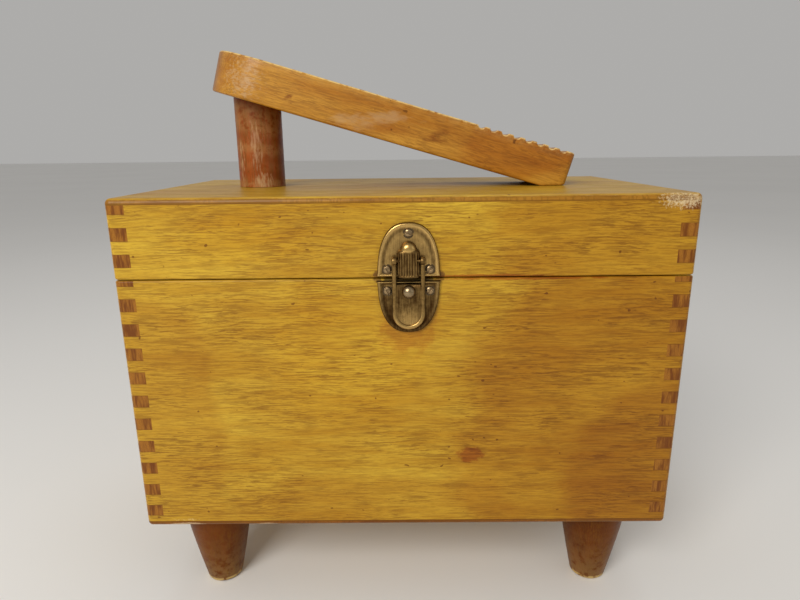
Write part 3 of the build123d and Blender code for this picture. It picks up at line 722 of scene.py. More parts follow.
def rest_outline(rest):
    """The sole's outline, once round: up one side, round the toe, back down and across the heel.

    A side is a straight line from (corner, heel) to (length - toe, toe); the toe is toe * (sin, cos) about
    its own middle; a heel corner is a quarter circle. The grooved stretch has a point every 0.4 mm.
    """
    heel, toe = rest.heel_half_width * 1000, rest.toe_radius * 1000
    corner, end = rest.heel_corner * 1000, rest.length * 1000 - rest.toe_radius * 1000
    grooved = (rest.groove_first + rest.groove_count * rest.groove_pitch) * 1000
    along = np.concatenate([np.arange(corner, grooved, 0.4), np.linspace(grooved, end, 50)])
    side = np.stack([along, heel + (toe - heel) * along / end], -1)
    turn = np.linspace(0, pi, 73)[1:-1]
    front = np.stack([end + toe * np.sin(turn), toe * np.cos(turn)], -1)
    quarter = np.linspace(0, pi / 2, 9)[1:-1]
    first_y = side[0, 1]
    inward, outward = corner - corner * np.sin(quarter), -(first_y - corner) - corner * np.cos(quarter)
    round_low = np.stack([inward, outward], -1)
    straight = np.linspace(-(first_y - corner), first_y - corner, 21)
    back = np.stack([np.zeros(21), straight], -1)
    round_high = round_low[::-1] * [1, -1]
    mirrored = side[::-1] * [1, -1]
    return np.vstack([side, front, mirrored, round_low, back, round_high])


def inward(outline):
    """Unit directions into a closed outline: its tangent turned a quarter turn to the right of its run."""
    tangent = np.roll(outline, -1, 0) - np.roll(outline, 1, 0)
    tangent /= np.linalg.norm(tangent, axis=1)[:, None]
    return np.stack([tangent[:, 1], -tangent[:, 0]], -1)


def rest_shell(rest):
    """The footrest. Rings run from the middle of the underside out to the edge, up the side and back in.

    Near an edge a ring is the outline moved inwards by r(1 - cos) and lifted by r(1 - sin); farther in, it
    slides from there to the board's middle line. Each groove takes depth * sqrt(1 - (d / half)^2) off the
    top, and the underside is never lower than the lid, which gives the flat seat of the heel.
    """
    outline = rest_outline(rest)
    inner = inward(outline)
    r = rest.edge_round * 1000
    thick = rest.thickness * 1000
    end = (rest.length - rest.toe_radius) * 1000
    spine = np.stack([np.clip(outline[:, 0], 5.0, end), np.zeros(len(outline))], -1)
    centres = rest.groove_first * 1000 + np.arange(rest.groove_count) * rest.groove_pitch * 1000

    def groove(along):
        away = np.abs(along[:, None] - centres) / (rest.groove_half * 1000)
        return (rest.groove_depth * 1000 * np.sqrt(np.clip(1 - away**2, 0, 1))).max(1)

    origin, up_slope, through, sunk = rest_frame(rest)
    rings, worn = [], []
    edge = np.linspace(0, pi / 2, 6)
    steps = [("low", s, 0.0, r) for s in (1.0, 0.6, 0.3, 0.08)]
    steps += [("low", 0.0, r * (1 - np.cos(a)), r * (1 - np.sin(a))) for a in edge]
    steps += [("side", 0.0, t, 0.0) for t in (0.2, 0.4, 0.6, 0.8)]
    steps += [("top", 0.0, r * (1 - np.sin(a)), r * (1 - np.cos(a))) for a in edge]
    steps += [("top", s, 0.0, r) for s in (0.04, 0.1, 0.2, 0.35, 0.5, 0.7, 0.85, 1.0)]
    for where, slide, lift, inset in steps:
        at = outline + inner * inset
        at = at + (spine - at) * slide
        low = np.maximum(0.0, sunk - at[:, 0] * tan(rest.slope))
        high = thick - groove(at[:, 0]) + 0.06 * ripple(at[:, 0] * 0.08 + at[:, 1] * 0.05, 0.4)
        dip = 0.35 * smooth_step(0.45, 1.0, slide) * smooth_step(60, 120, at[:, 0])
        if where == "low":
            z = low + lift
        elif where == "side":
            z = low + r + (high - low - 2 * r) * lift
        else:
            z = high - lift - dip
        across = at[:, 1, None] * np.array([0, 1, 0])
        rings.append(origin + at[:, 0, None] * up_slope + across + z[:, None] * through)
        on_edge = 1.0 * (where == "top" and slide == 0 and 0.15 * r < inset < 0.95 * r)
        crest = smooth_step(0.25, 0.0, groove(at[:, 0])) * smooth_step(80, 60, at[:, 0])
        worn.append(on_edge * 0.95 + (0.12 * crest + 0.08) * (where == "top"))
    return shell(np.array(rings), np.array(worn), False, False)


def post_shell(rest):
    """The post: a straight round rod with a faint waver, its top cut by the footrest's underside."""
    radius = (post_high[1] - post_low[1]) / 2
    middle = np.array([(post_low[0] + post_high[0]) / 2, (post_low[1] + post_high[1]) / 2, post_low[2]])
    origin = rest_frame(rest)[0]
    t = np.linspace(0, 1, 50)
    profile = np.stack([t, radius + 0.05 * ripple(t * 30, 2.0)], -1)
    profile = np.vstack([[(0.0, radius - 0.3)], profile + [0.004, 0], [(1.0, radius - 0.3)]])
    profile[-2, 0] = 0.996
    profile[:, 0] = np.clip(profile[:, 0], 0, 1)

    def cut(grid):
        under = origin[2] + (origin[0] - grid[..., 0]) * tan(rest.slope)
        grid[..., 2] = middle[2] + (grid[..., 2] - middle[2]) * (under - middle[2])
        return grid

    return turned_shell(profile, middle, (0, 0, 1), 96, 0.10 + 0.15 * ripple(profile[:, 0] * 9, 1.3), cut)


def oval_half(catch, up):
    """Half of the catch's oval: |x / a|^2.5 + |z / b|^2.5 = 1 above or below the seam, closed along it."""
    low, high = (plate_low, plate_high) if up else (lower_low, lower_high)
    seam = low[2] if up else high[2]
    half, tall = catch.half_width * 1000, catch.half_height * 1000
    angle = np.linspace(0.02, pi - 0.02, 121)
    x = half * np.sign(np.cos(angle)) * np.abs(np.cos(angle)) ** 0.8
    z = tall * np.sin(angle) ** 0.8
    sign = 1 if up else -1
    gap = abs(seam - seam_z)
    z = np.maximum(z, gap)
    flare = 0.45 * np.exp(-(((z - gap) / 1.6) ** 2)) * np.sign(x) * (np.abs(x) > half * 0.8)
    arc = np.stack([x + flare, sign * z], -1)
    flat = np.linspace(arc[-1], arc[0], 40)[1:-1]
    return np.vstack([arc, flat]) + [catch_x, seam_z], seam


# how far in from the outline, how high and how bright each ring of a catch plate is: rubbed wear, with a
# painted highlight on the rim's crest
PLATE_PROFILE = (
    (1.0, 0, 0), (0.5, 0, 0), (0, 0, 0), (0.004, 0.45, 0), (0.012, 0.75, 0.2), (0.025, 0.93, 0.6),
    (0.045, 1.0, 0.9), (0.07, 1.02, 0.9), (0.1, 0.97, 0.75), (0.13, 0.86, 0.5), (0.17, 0.73, 0.3),
    (0.21, 0.70, 0.3), (0.25, 0.77, 0.5), (0.3, 0.79, 0.58), (0.36, 0.74, 0.52), (0.45, FIELD, 0.5),
    (0.6, FIELD, 0.5), (0.8, FIELD, 0.5), (1.0, FIELD, 0.5),
)  # fmt: skip


def plate_shell(catch, up):
    """A stamped plate: rings shrink from the outline to its middle while the height follows a profile.

    The height climbs over a rounded rim to a crest, dips into a trough, crosses a low second ridge and
    settles on the field.
    """
    outline, seam = oval_half(catch, up)
    wood = plate_high[1]
    face = wood - plate_low[1]
    hub = np.array([catch_x, seam + (PLATE_HUB if up else -PLATE_HUB)])
    profile = np.array(PLATE_PROFILE)
    share, tall, rub_and_shading = profile.T
    at = outline[None] + (hub - outline[None]) * share[:, None, None]
    y = wood - face * tall[:, None] * np.ones(len(outline))
    # the lower plate grows darker away from the seam
    fade = 1.0 if up else 0.25 + 0.55 * smooth_step(seam - 22, seam, at[..., 1])
    # painted highlight: a bright line along the lower plate's top edge at the seam
    lit = 0.9 * np.exp(-(((at[..., 1] - seam) / 0.7) ** 2)) * (tall[:, None] > 0.6) * (not up)
    return shell(np.stack([at[..., 0], y, at[..., 1]], -1), np.maximum(rub_and_shading[:, None] * fade, lit))


def hood_shell(catch):
    """The hood: a round nose on top of a wider ribbed body with rounded shoulders.

    The nose rises by (1 - (distance / radius)^2.6)^0.5 round its own middle, and the body by (1 - |u|^4)^0.4
    across and (1 - v^3)^0.5 over its shoulders, with cosine ribs; the higher of the two is taken.
    """
    low, high = hood_low, hood_high
    half = (high[0] - low[0]) / 2 + 0.2
    proud = high[1] - low[1]
    nose, shoulder = half * 0.70, 3.2
    nose_z, body_top = high[2] - nose, high[2] - nose * 0.8
    t = np.concatenate([np.linspace(0, 0.7, 70), 1 - 0.3 * (1 - np.sin(np.linspace(0, pi / 2, 50)[1:]))])
    z = low[2] + t * (high[2] - low[2])
    over = np.clip((z - body_top + shoulder) / shoulder, 0, 1)
    body = (half - 0.35 * smooth_step(low[2] + 3, low[2], z)) * (1 - over**2.5) ** 0.4
    round_nose = np.sqrt(np.clip(nose**2 - (z - nose_z) ** 2, 0, None))
    width = np.maximum(body, round_nose)
    u = np.sin(np.linspace(-pi / 2, pi / 2, 97))
    x = u[None] * width[:, None]
    away = np.hypot(x, (z - nose_z)[:, None]) / nose
    nose_tall = 0.97 * proud * np.sqrt(np.clip(1 - np.clip(away, 0, 1) ** 2.6, 0, 1))
    across = np.clip(np.abs(x) / np.maximum(body, 0.01)[:, None], 0, 1)
    body_tall = proud * (1 - across**4) ** 0.4 * ((1 - over**3) ** 0.5)[:, None]
    ribbed = (smooth_step(low[2] + 0.5, low[2] + 1.3, z) * smooth_step(0.5, 0.1, over))[:, None]
    ribs = np.cos(2 * pi * x / (catch.rib_pitch * 1000)) * smooth_step(0.95, 0.85, across)
    body_tall = body_tall - ribbed * (0.14 - 0.14 * ribs)
    tall = np.maximum(np.maximum(nose_tall, body_tall), 0)
    front = np.stack([catch_x + x, high[1] - tall, z[:, None] * np.ones_like(x)], -1)
    back = front[:, ::-1][:, 1:-1].copy()
    back[..., 1] = high[1] + 0.8
    on_nose = smooth_step(-0.2, 0.3, nose_tall - body_tall)
    # painted highlight over the nose, brightest at its middle; the ribs' crests a little brighter
    rub_and_shading = on_nose * (0.25 + 0.85 * (1 - away.clip(0, 1) ** 2)) + (1 - on_nose) * (0.22 + 0.14 * ribs * ribbed)
    return shell(np.concatenate([front, back], 1), np.concatenate([rub_and_shading, rub_and_shading[:, 1:-1] * 0], 1))


def hasp_shells(catch):
    """The hasp: a rim carried down one side, round the end and up the other, a thin tongue and two eyes.

    The rim's section is |s / a|^3 + |t / b|^3 = 1, and it thickens round the end into the pull edge.
    """
    prong = catch.prong * 1000
    half = (hasp_high[0] - hasp_low[0]) / 2
    centre = half - prong / 2
    eye = (pin_low[2] + pin_high[2]) / 2
    eye_y = (pin_low[1] + pin_high[1]) / 2
    back = hasp_high[1]
    end = hasp_low[2] + half
    run = np.linspace(eye, end, 40)
    turn = np.linspace(pi, 2 * pi, 61)[1:-1]
    path_x = np.concatenate([np.full(40, -centre), centre * np.cos(turn), np.full(40, centre)])
    path_z = np.concatenate([run, end + centre * np.sin(turn), run[::-1]])
    out_x = np.concatenate([np.full(40, -1.0), np.cos(turn), np.full(40, 1.0)])
    out_z = np.concatenate([np.zeros(40), np.sin(turn), np.zeros(40)])
    a = np.linspace(0, 2 * pi, 24, endpoint=False)
    s = np.sign(np.cos(a)) * np.abs(np.cos(a)) ** (2 / 3) * prong / 2
    d = np.sign(np.sin(a)) * np.abs(np.sin(a)) ** (2 / 3) * HASP_RIM / 2
    swell = 1 + 0.45 * smooth_step(end + 2, hasp_low[2] + 1.5, path_z)
    x = catch_x + path_x[:, None] + s[None] * out_x[:, None]
    z = path_z[:, None] + s[None] * out_z[:, None]
    y = back - HASP_RIM / 2 * swell[:, None] - d[None] * swell[:, None]
    # painted highlights: the rim brighter at the pull edge, at the eyes and on its front half
    foot_lit, eye_lit = smooth_step(end + 4, hasp_low[2] + 2, path_z), smooth_step(eye - 3, eye, path_z)
    lit = 0.30 + 0.3 * foot_lit + 0.25 * eye_lit
    rim_rub = lit[:, None] * (0.55 + 0.6 * np.clip(np.sin(a), 0, 1) ** 2)
    rim = shell(np.stack([x, y, z], -1), rim_rub)
    top = lid_low[2] - TONGUE_DROP
    t = np.sin(np.linspace(0, pi / 2, 40))
    row = top + (hasp_low[2] + 0.8 - top) * t
    under = np.clip((end - row) / (half - 0.8), 0, 1)
    width = (half - prong + 0.5) * np.sqrt(np.clip(1 - under**2, 0, 1))
    u = np.linspace(-1, 1, 31)
    tx = u[None] * width[:, None]
    dish = HASP_TONGUE - 0.20 * np.cos(u * pi / 2)[None] * np.ones((40, 1))
    dish[:3] *= np.array([0.72, 0.9, 0.98])[:, None]
    tz = row[:, None] - 0.5 * (np.cos(u * pi)[None] + 1) * (1 - t[:, None]) ** 3
    front = np.stack([catch_x + tx, back - dish, tz], -1)
    rear = front[:, ::-1][:, 1:-1].copy()
    rear[..., 1] = back - 0.35
    # painted highlight: the tongue brighter toward its pull edge and along its middle
    light = 0.18 + 0.42 * smooth_step(end + 6, hasp_low[2] + 3, row)[:, None] * np.cos(u * pi / 2) ** 0.5
    tongue = shell(np.concatenate([front, rear], 1), np.concatenate([light, light[:, 1:-1]], 1))
    eyes = []
    r = min((hasp_high[1] - hasp_low[1]) / 2, 1.9)
    for side in (-1, 1):
        end = -prong / 2
        profile = [(end, 0), (end, r * 0.8), (end + 0.15, r * 0.95), (end + 0.4, r)]
        profile += [(-v, w) for v, w in profile[::-1]]
        eyes.append(turned_shell(profile, (catch_x + side * centre, eye_y, eye), (1, 0, 0), 40, [0.3] * 8))
    return [rim, tongue] + eyes


def knob_shell():
    """The knob: a small collar, a waist, then a ball flattened by a tenth towards its front."""
    r = (knob_high[0] - knob_low[0]) / 2
    x, z = (knob_low[0] + knob_high[0]) / 2, (knob_low[2] + knob_high[2]) / 2
    foot = hasp_high[1] - HASP_RIM
    reach = foot - knob_low[1]
    a = np.linspace(-0.66, pi / 2, 40)
    ball = np.stack([reach - r * 0.9 + r * 0.9 * np.sin(a), r * np.cos(a)], -1)
    profile = np.vstack([[(-0.5, 0), (-0.5, 2.0), (0.1, 2.3), (0.25, 2.2), (0.3, 1.9)], ball])
    # painted shade on the collar, painted highlight on the front of the ball
    rub_and_shading = np.concatenate([[-0.5, -0.5, -0.5, -0.5, -0.4], -0.3 + 1.1 * np.clip(np.sin(a) + 0.2, 0, 1)])
    return turned_shell(profile, (x, foot, z), (0, -1, 0), 72, rub_and_shading)


def pin_shell():
    """The hinge pin: rounded ends in the prongs, and a thinner middle that hides under the hood."""
    low, high = pin_low, pin_high
    r, half = (high[1] - low[1]) / 2, (high[0] - low[0]) / 2
    side = hood_high[0] - catch_x
    a = np.linspace(0, pi / 2, 7)
    cap = np.stack([-half + 0.5 * r * (1 - np.sin(a)), r * np.sin(a)], -1)
    left = np.vstack([cap, [(-side + 0.2, r), (-side + 0.6, 0.6 * r)]])
    profile = np.vstack([left, left[::-1] * [-1, 1]])
    middle = (catch_x, (low[1] + high[1]) / 2, (low[2] + high[2]) / 2)
    return turned_shell(profile, middle, (1, 0, 0), 40, np.full(len(profile), 0.2))


def tack_shell(x, z, turn, face):
    """A domed head with a slot across it, in a thin dark ring of painted shade; the slot is a smooth trench.
    """
    share = np.concatenate([[1.0, 1.36, 1.32, 1.12, 1.0, 1.0], np.linspace(1, 0, 26)[1:]])
    base = np.array([-0.5, -0.1, 0.10, 0.13, 0.10, TACK_EDGE])
    angle = np.linspace(0, 2 * pi, 64, endpoint=False)
    px = TACK_RADIUS * share[:, None] * np.cos(angle)
    pz = TACK_RADIUS * share[:, None] * np.sin(angle)
    bulge = np.sqrt(np.clip(1 - np.clip(share, 0, 1) ** 2.2, 0, 1))[:, None] * np.ones(64)
    dome = TACK_EDGE + (TACK_RISE - TACK_EDGE) * bulge
    across = px * cos(turn) + pz * sin(turn)
    trench = smooth_step(0.42, 0.26, np.abs(across)) * smooth_step(1.75, 1.5, np.hypot(px, pz))
    tall = dome - 0.42 * trench
    tall[:6] = base[:, None]
    # painted highlight brightest on the dome's middle; painted shade in the ring round the head
    rub_and_shading = 0.30 + 0.6 * (1 - share[:, None]) * (1 - trench)
    rub_and_shading[:5] = -1.2
    return shell(np.stack([x + px, face - tall, z + pz], -1), rub_and_shading)


def tack_places(node, count):
    """Middles of a node's tacks, from its box: the upper plate has one at the top and two below."""
    low, high = corners(node)
    left, right = low[0] + TACK_RADIUS, high[0] - TACK_RADIUS
    places = [(left, low[2] + TACK_RADIUS), (right, low[2] + TACK_RADIUS)]
    if count == 3:
        places.append(((left + right) / 2, high[2] - TACK_RADIUS))
    return places


# ---------------------------------------------------------------- operators
def give(nodes, material):
    """Puts a material on CAD nodes."""
    for name in nodes:
        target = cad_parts[name]
        if not target.material_slots:
            target.data.materials.append(material)
        for entry in target.material_slots:
            entry.material = material


def on_front(x, z, radii, *rest):
    """A patch on the front face; the rest is its fineness, cover, colour, strength and blend."""
    return ((x, -half_y, z), radii, *rest)


def darker(tint, share):
    """A colour scaled down, or up where the share is over one."""
    return tuple(share * v for v in tint)


def varnish_frame(wood, part, label, box, start, shifts, patches, side_patches=()):
    """Varnishes the long and the short boards of a jointed frame."""
    name = "varnished_" + label
    rest = (*box, start)
    along = board_material(name + "long_board", wood, ZERO, shifts[0], *rest, LONG_REACH, patches)
    across = board_material(name + "short_board", wood, ALONG_Y, shifts[1], *rest, SHORT_REACH, side_patches)
    give((part + "_front", part + "_back"), along)
    give((part + "_left", part + "_right"), across)


class SHINE_OT_effects(bpy.types.Operator):
    """Build the shared shader effects."""

    bl_idname = "shine.effects"
    bl_label = "Shared effects"

    def execute(self, context):
        grains, wear = (make_long_grain, make_end_grain), (make_edge_rub, make_wear_and_shade_patch)
        for make in (*grains, *wear, make_glue_line, make_patina):
            make()
        return {"FINISHED"}


class SHINE_OT_case(bpy.types.Operator):
    """Varnish the jointed boards of the case and its bottom."""

    bl_idname = "shine.case"
    bl_label = "Case boards"

    def execute(self, context):
        wood = context.scene.shine_wood
        box = ((0, 0, case_high[2]), (half_x, half_y, case_high[2] - bottom_low[2]))
        patches = (
            # stain with painted shadow round and below the catch
            on_front(catch_x, 166, (26, 12, 36), 120, 0.55, STAIN_AND_SHADE, 0.55, "MULTIPLY"),
            # dark ring on the wood round the catch: grime with painted shadow
            on_front(catch_x, 187, (18.5, 6, 31.5), 350, 1.0, GRIME_AND_SHADE, 0.8, "MIX"),
            # painted shadow beside the plates' flared corners at the seam
            on_front(catch_x - 15, 186.5, (4.2, 4, 3.2), 700, 0.6, FLARE_SHADOW, 0.7, "MIX"),
            on_front(catch_x + 15, 186.5, (4.2, 4, 3.2), 700, 0.6, FLARE_SHADOW, 0.7, "MIX"),
            on_front(34, 92, (12, 6, 8), 220, 0.60, STAIN_AND_SHADE, 0.9, "MULTIPLY"),
            # painted light on the middle left of the front
            on_front(-30, 150, (75, 12, 70), 30, 0.55, PAINTED_LIGHT, 0.5, "SOFT_LIGHT"),
            # painted shade: the left edge, the right side and the lower front darker
            on_front(-125, 110, (50, 12, 120), 16, 0.8, PAINTED_SHADE, 0.6, "MULTIPLY"),
            on_front(125, 110, (150, 12, 150), 14, 0.95, PAINTED_SHADE, 1.0, "MULTIPLY"),
            on_front(135, 80, (80, 12, 80), 14, 0.9, PAINTED_SHADE, 0.7, "MULTIPLY"),
            on_front(-20, 62, (140, 12, 34), 25, 0.6, PAINTED_SHADE, 0.6, "MULTIPLY"),
            # painted shade along the seam under the lid
            on_front(60, 186.5, (70, 6, 1.8), 200, 0.6, STAIN_AND_SHADE, 0.9, "MULTIPLY"),
            on_front(-118, 54, (14, 8, 1.6), 700, 0.35, rgba(wood.rubbed), 0.5, "MIX"),
        )
        chips_and_edge_shade = (
            on_front(-118, bottom_low[2] + 0.6, (14, 6, 2.4), 700, 1.1, CHIPPED, 0.95, "MIX"),
            on_front(-75, bottom_low[2] + 0.5, (9, 6, 1.8), 700, 1.0, CHIPPED, 0.9, "MIX"),
            # painted shade: the whole bottom edge darker
            on_front(0, bottom_low[2] + 1.6, (260, 5, 5), 60, 1.0, (0.74, 0.58, 0.42, 1), 1.0, "MULTIPLY"),
        )
        shifts = (ZERO, (0.3, 0.4, 0))
        varnish_frame(wood, "case", "", box, case_high[2] - CASE_FIRST_FINGER, shifts, patches)
        edge = (bottom_low[2], bottom_high[2], bottom_low[2])
        give(("case_bottom",), panel_material("varnished_bottom_panel", wood, *edge, chips_and_edge_shade))
        return {"FINISHED"}


class SHINE_OT_lid(bpy.types.Operator):
    """Varnish the jointed boards of the lid and its top."""

    bl_idname = "shine.lid"
    bl_label = "Lid boards"

    def execute(self, context):
        wood = context.scene.shine_wood
        box = ((0, 0, lid_low[2]), (half_x, half_y, top_high[2] - lid_low[2]))
        chip = on_front(131, 223.5, (21, 7, 9), 900, 0.42, (0.70, 0.56, 0.33, 1), 0.75, "MIX")
        specks = on_front(130, 224, (17, 6, 4), 1500, 0.40, rgba(wood.pore), 0.7, "MIX")
        patches = (
            # stain with painted shadow round the upper plate
            on_front(catch_x, 192, (26, 12, 28), 120, 0.45, STAIN_AND_SHADE, 0.5, "MULTIPLY"),
            # dark ring on the wood round the catch: grime with painted shadow
            on_front(catch_x, 187, (18.5, 6, 30.5), 350, 1.0, GRIME_AND_SHADE, 0.7, "MIX"),
            # painted shadow beside the plates' flared corners at the seam
            on_front(catch_x - 15, 188.5, (4.2, 4, 3.8), 700, 0.6, FLARE_SHADOW, 0.7, "MIX"),
            on_front(catch_x + 15, 188.5, (4.2, 4, 3.8), 700, 0.6, FLARE_SHADOW, 0.7, "MIX"),
            # painted light on the left of the lid
            on_front(-75, 205, (60, 12, 20), 50, 0.55, PAINTED_LIGHT, 0.5, "SOFT_LIGHT"),
            # painted shade on the right of the lid
            on_front(125, 205, (130, 12, 70), 18, 0.85, PAINTED_SHADE, 0.9, "MULTIPLY"),
            # painted shade along the seam at the lid's lower edge
            on_front(40, 187.5, (60, 6, 1.6), 200, 0.6, STAIN_AND_SHADE, 0.9, "MULTIPLY"),
            chip,
            specks,
        )
        shifts = ((0.5, 0, 0.3), (0, 0, 0.2))
        varnish_frame(wood, "lid", "lid_", box, lid_high[2] - LID_FIRST_FINGER, shifts, patches, (chip,))
        edge = (top_low[2], top_high[2], top_high[2])
        give(("lid_top",), panel_material("varnished_top_panel", wood, *edge, (chip, specks)))
        return {"FINISHED"}


class SHINE_OT_inside(bpy.types.Operator):
    """Finish the bare wood inside: runners, brace, dowel and tray."""

    bl_idname = "shine.inside"
    bl_label = "Inside and tray"

    def execute(self, context):
        wood = context.scene.shine_wood
        bare = (wood, wood.bare, darker(wood.bare, 0.72))
        along_x = solid_wood("bare_wood_long", *bare, ZERO, (0, 0.3, 0), 0.4, 0.0)
        along_y = solid_wood("bare_wood_short", *bare, ALONG_Y, (0.2, 0, 0), 0.4, 0.0)
        give(("runner_front", "runner_back", "tray_front", "tray_back", "tray_floor"), along_x)
        give(("tray_divider_long", "lid_brace", "footrest_dowel"), along_x)
        give(("tray_left", "tray_right", "tray_divider_short"), along_y)
        return {"FINISHED"}


class SHINE_OT_feet(bpy.types.Operator):
    """Turn the four feet."""

    bl_idname = "shine.feet"
    bl_label = "Feet"

    def execute(self, context):
        wood = context.scene.shine_wood
        browns = (wood.foot_brown, darker(wood.foot_brown, 0.5))
        made = solid_wood("varnished_foot", wood, *browns, ALONG_Z, (0, 0, 0.2), 0.9, 0.06)
        for place in ("front_left", "front_right", "rear_left", "rear_right"):
            node = "foot_" + place
            shells = [foot_shell(node, context.scene.shine_feet)]
            piece("turned_" + node, shells, made, "case", [node])
        return {"FINISHED"}


class SHINE_OT_footrest(bpy.types.Operator):
    """Shape the sloping footrest and the post under it."""

    bl_idname = "shine.footrest"
    bl_label = "Footrest and post"

    def execute(self, context):
        wood, rest = context.scene.shine_wood, context.scene.shine_rest
        pale = (0.50, 0.33, 0.17, 1)
        heel_shade, knot = (0.80, 0.62, 0.40, 1), (0.42, 0.24, 0.14, 1)
        patches = (
            ((-86, -32, 284), (27, 22, 24), 800, 0.37, pale, 0.6, "MIX"),
            ((-14, -30, 262), (46, 20, 11), 160, 0.36, pale, 0.45, "MIX"),
            ((-60, -28, 273), (6, 8, 4), 300, 0.45, knot, 0.8, "MULTIPLY"),
            ((22, -26, 253), (36, 12, 9), 130, 0.30, knot, 0.8, "MULTIPLY"),
            ((-20, -26, 258), (60, 14, 8), 60, 0.35, (0.78, 0.60, 0.50, 1), 0.8, "MULTIPLY"),
            # painted shade: the heel end of the footrest darker
            ((70, -24, 246), (70, 24, 30), 30, 0.7, heel_shade, 0.9, "MULTIPLY"),
        )
        laid = ((0, -rest.slope, 0), (0, 0.1, 0), 0.6, 0.16, patches, (0.5, 1, 1))
        made = solid_wood("varnished_footrest", wood, wood.rest_light, wood.rest_dark, *laid)
        piece("sloping_footrest", [rest_shell(rest)], made, "lid", ["footrest"])
        worn_red = (0.42, 0.22, 0.11, 1)
        streaks = (
            ((-83, -13, 248), (8, 8, 30), 700, 0.36, worn_red, 0.8, "MIX"),
            ((-92, -9, 240), (4, 8, 30), 900, 0.34, pale, 0.6, "MIX"),
            ((-80, -13, 230), (11, 8, 9), 900, 0.40, pale, 0.6, "MIX"),
            # painted shadow at the top of the post, under the footrest
            ((-84, 0, 275), (20, 20, 24), 60, 0.7, (0.55, 0.42, 0.36, 1), 0.9, "MULTIPLY"),
        )
        reds = (wood.red_brown, darker(wood.red_brown, 0.45))
        made = solid_wood("varnished_post", wood, *reds, ALONG_Z, ZERO, 0.9, 0.12, streaks, (1, 1, 0.22))
        piece("round_post", [post_shell(rest)], made, "lid", ["footrest_post"])
        return {"FINISHED"}


class SHINE_OT_catch(bpy.types.Operator):
    """Shape the oval catch: plates, hood, hasp, knob, pin and tacks."""

    bl_idname = "shine.catch"
    bl_label = "Catch"

    def execute(self, context):
        catch = context.scene.shine_catch
        # painted shade in the recess below the hood
        recess_shade = ((catch_x, plate_low[1], hood_low[2] - 1.2), (7.5, 2.4, 5.2), 500, 1.1, GRIME_AND_SHADE, 1.0, "MIX")
        knob_z = float(knob_low[2] + knob_high[2]) / 2
        # painted contact shadow round the knob
        knob_shadow = ((catch_x, hasp_low[1], knob_z), (5.4, 4.0, 5.4), 400, 0.8, GRIME_AND_SHADE, 0.7, "MIX")
        patches = (recess_shade, knob_shadow)
        brass = brass_material("aged_brass", catch.bright, catch.dark, 0.05, BRASS_FINENESS, patches)
        worn_nickel = tuple(0.4 * (a + b) for a, b in zip(catch.bright, NICKEL))
        knob = brass_material("aged_brass_knob", worn_nickel, catch.dark, 0.0, 700.0)
        steel = brass_material("dull_steel", catch.steel, darker(catch.steel, 0.3), 0.25, 900.0)
        duller = (darker(catch.bright, 0.72), catch.dark)
        lower = brass_material("aged_brass_lower", *duller, 0.0, BRASS_FINENESS)
        for half, up, look, body in (("upper", True, brass, "lid"), ("lower", False, lower, "case")):
            shells = [plate_shell(catch, up)]
            piece("catch_plate_" + half, shells, look, body, ["catch_plate_" + body])
        piece("ribbed_hood", [hood_shell(catch)], brass, "lid", ["catch_hood"])
        piece("forked_hasp", hasp_shells(catch), brass, "hasp", ["hasp"])
        piece("hasp_ball", [knob_shell()], knob, "hasp", ["hasp_knob"])
        face = plate_high[1] - FIELD * (plate_high[1] - plate_low[1])
        for node, body, count in (("catch_tacks_lid", "lid", 3), ("catch_tacks_case", "case", 2)):
            places = zip(tack_places(node, count), SLOT_TURNS)
            heads = [tack_shell(x, z, turn, face) for (x, z), turn in places]
            piece("domed_" + node, heads, steel, body, [node])
        piece("hinge_pin_of_hasp", [pin_shell()], brass, "hasp", ["hasp_pin"])
        give(("catch_keeper",), steel)
        return {"FINISHED"}


class SHINE_OT_hardware(bpy.types.Operator):
    """Finish the hinges and the screws."""

    bl_idname = "shine.hardware"
    bl_label = "Hinges and screws"

    def execute(self, context):
        catch = context.scene.shine_catch
        plated = brass_material("hinge_brass", darker(catch.bright, 1.1), catch.dark, 0.4, 260.0)
        steel = brass_material("screw_steel", catch.steel, darker(catch.steel, 0.4), 0.5, 900.0)
        leaves = tuple(f"hinge_leaf_{body}_{side}" for body in ("case", "lid") for side in ("left", "right"))
        give(leaves + ("hinge_pin_left", "hinge_pin_right"), plated)
        give(("hinge_screws_case", "hinge_screws_lid", "footrest_screws"), steel)
        give(("foot_screws", "foot_washers"), steel)
        return {"FINISHED"}


def soft_light(name, place, aim, size, power, tint):
    """A square area light that looks at a point."""
    data = bpy.data.lights.new(name, "AREA")
    data.shape = "RECTANGLE"
    data.size, data.size_y = size
    data.energy = power
    data.color = tint
    made = bpy.data.objects.new(name, data)
    bpy.context.scene.collection.objects.link(made)
    away = np.array(place, float) - np.array(aim, float)
    away /= np.linalg.norm(away)
    side = np.cross((0, 0, 1), away)
    side /= np.linalg.norm(side)
    turned = Matrix((side, np.cross(away, side), away)).transposed().to_4x4()
    made.matrix_world = Matrix.Translation(place) @ turned


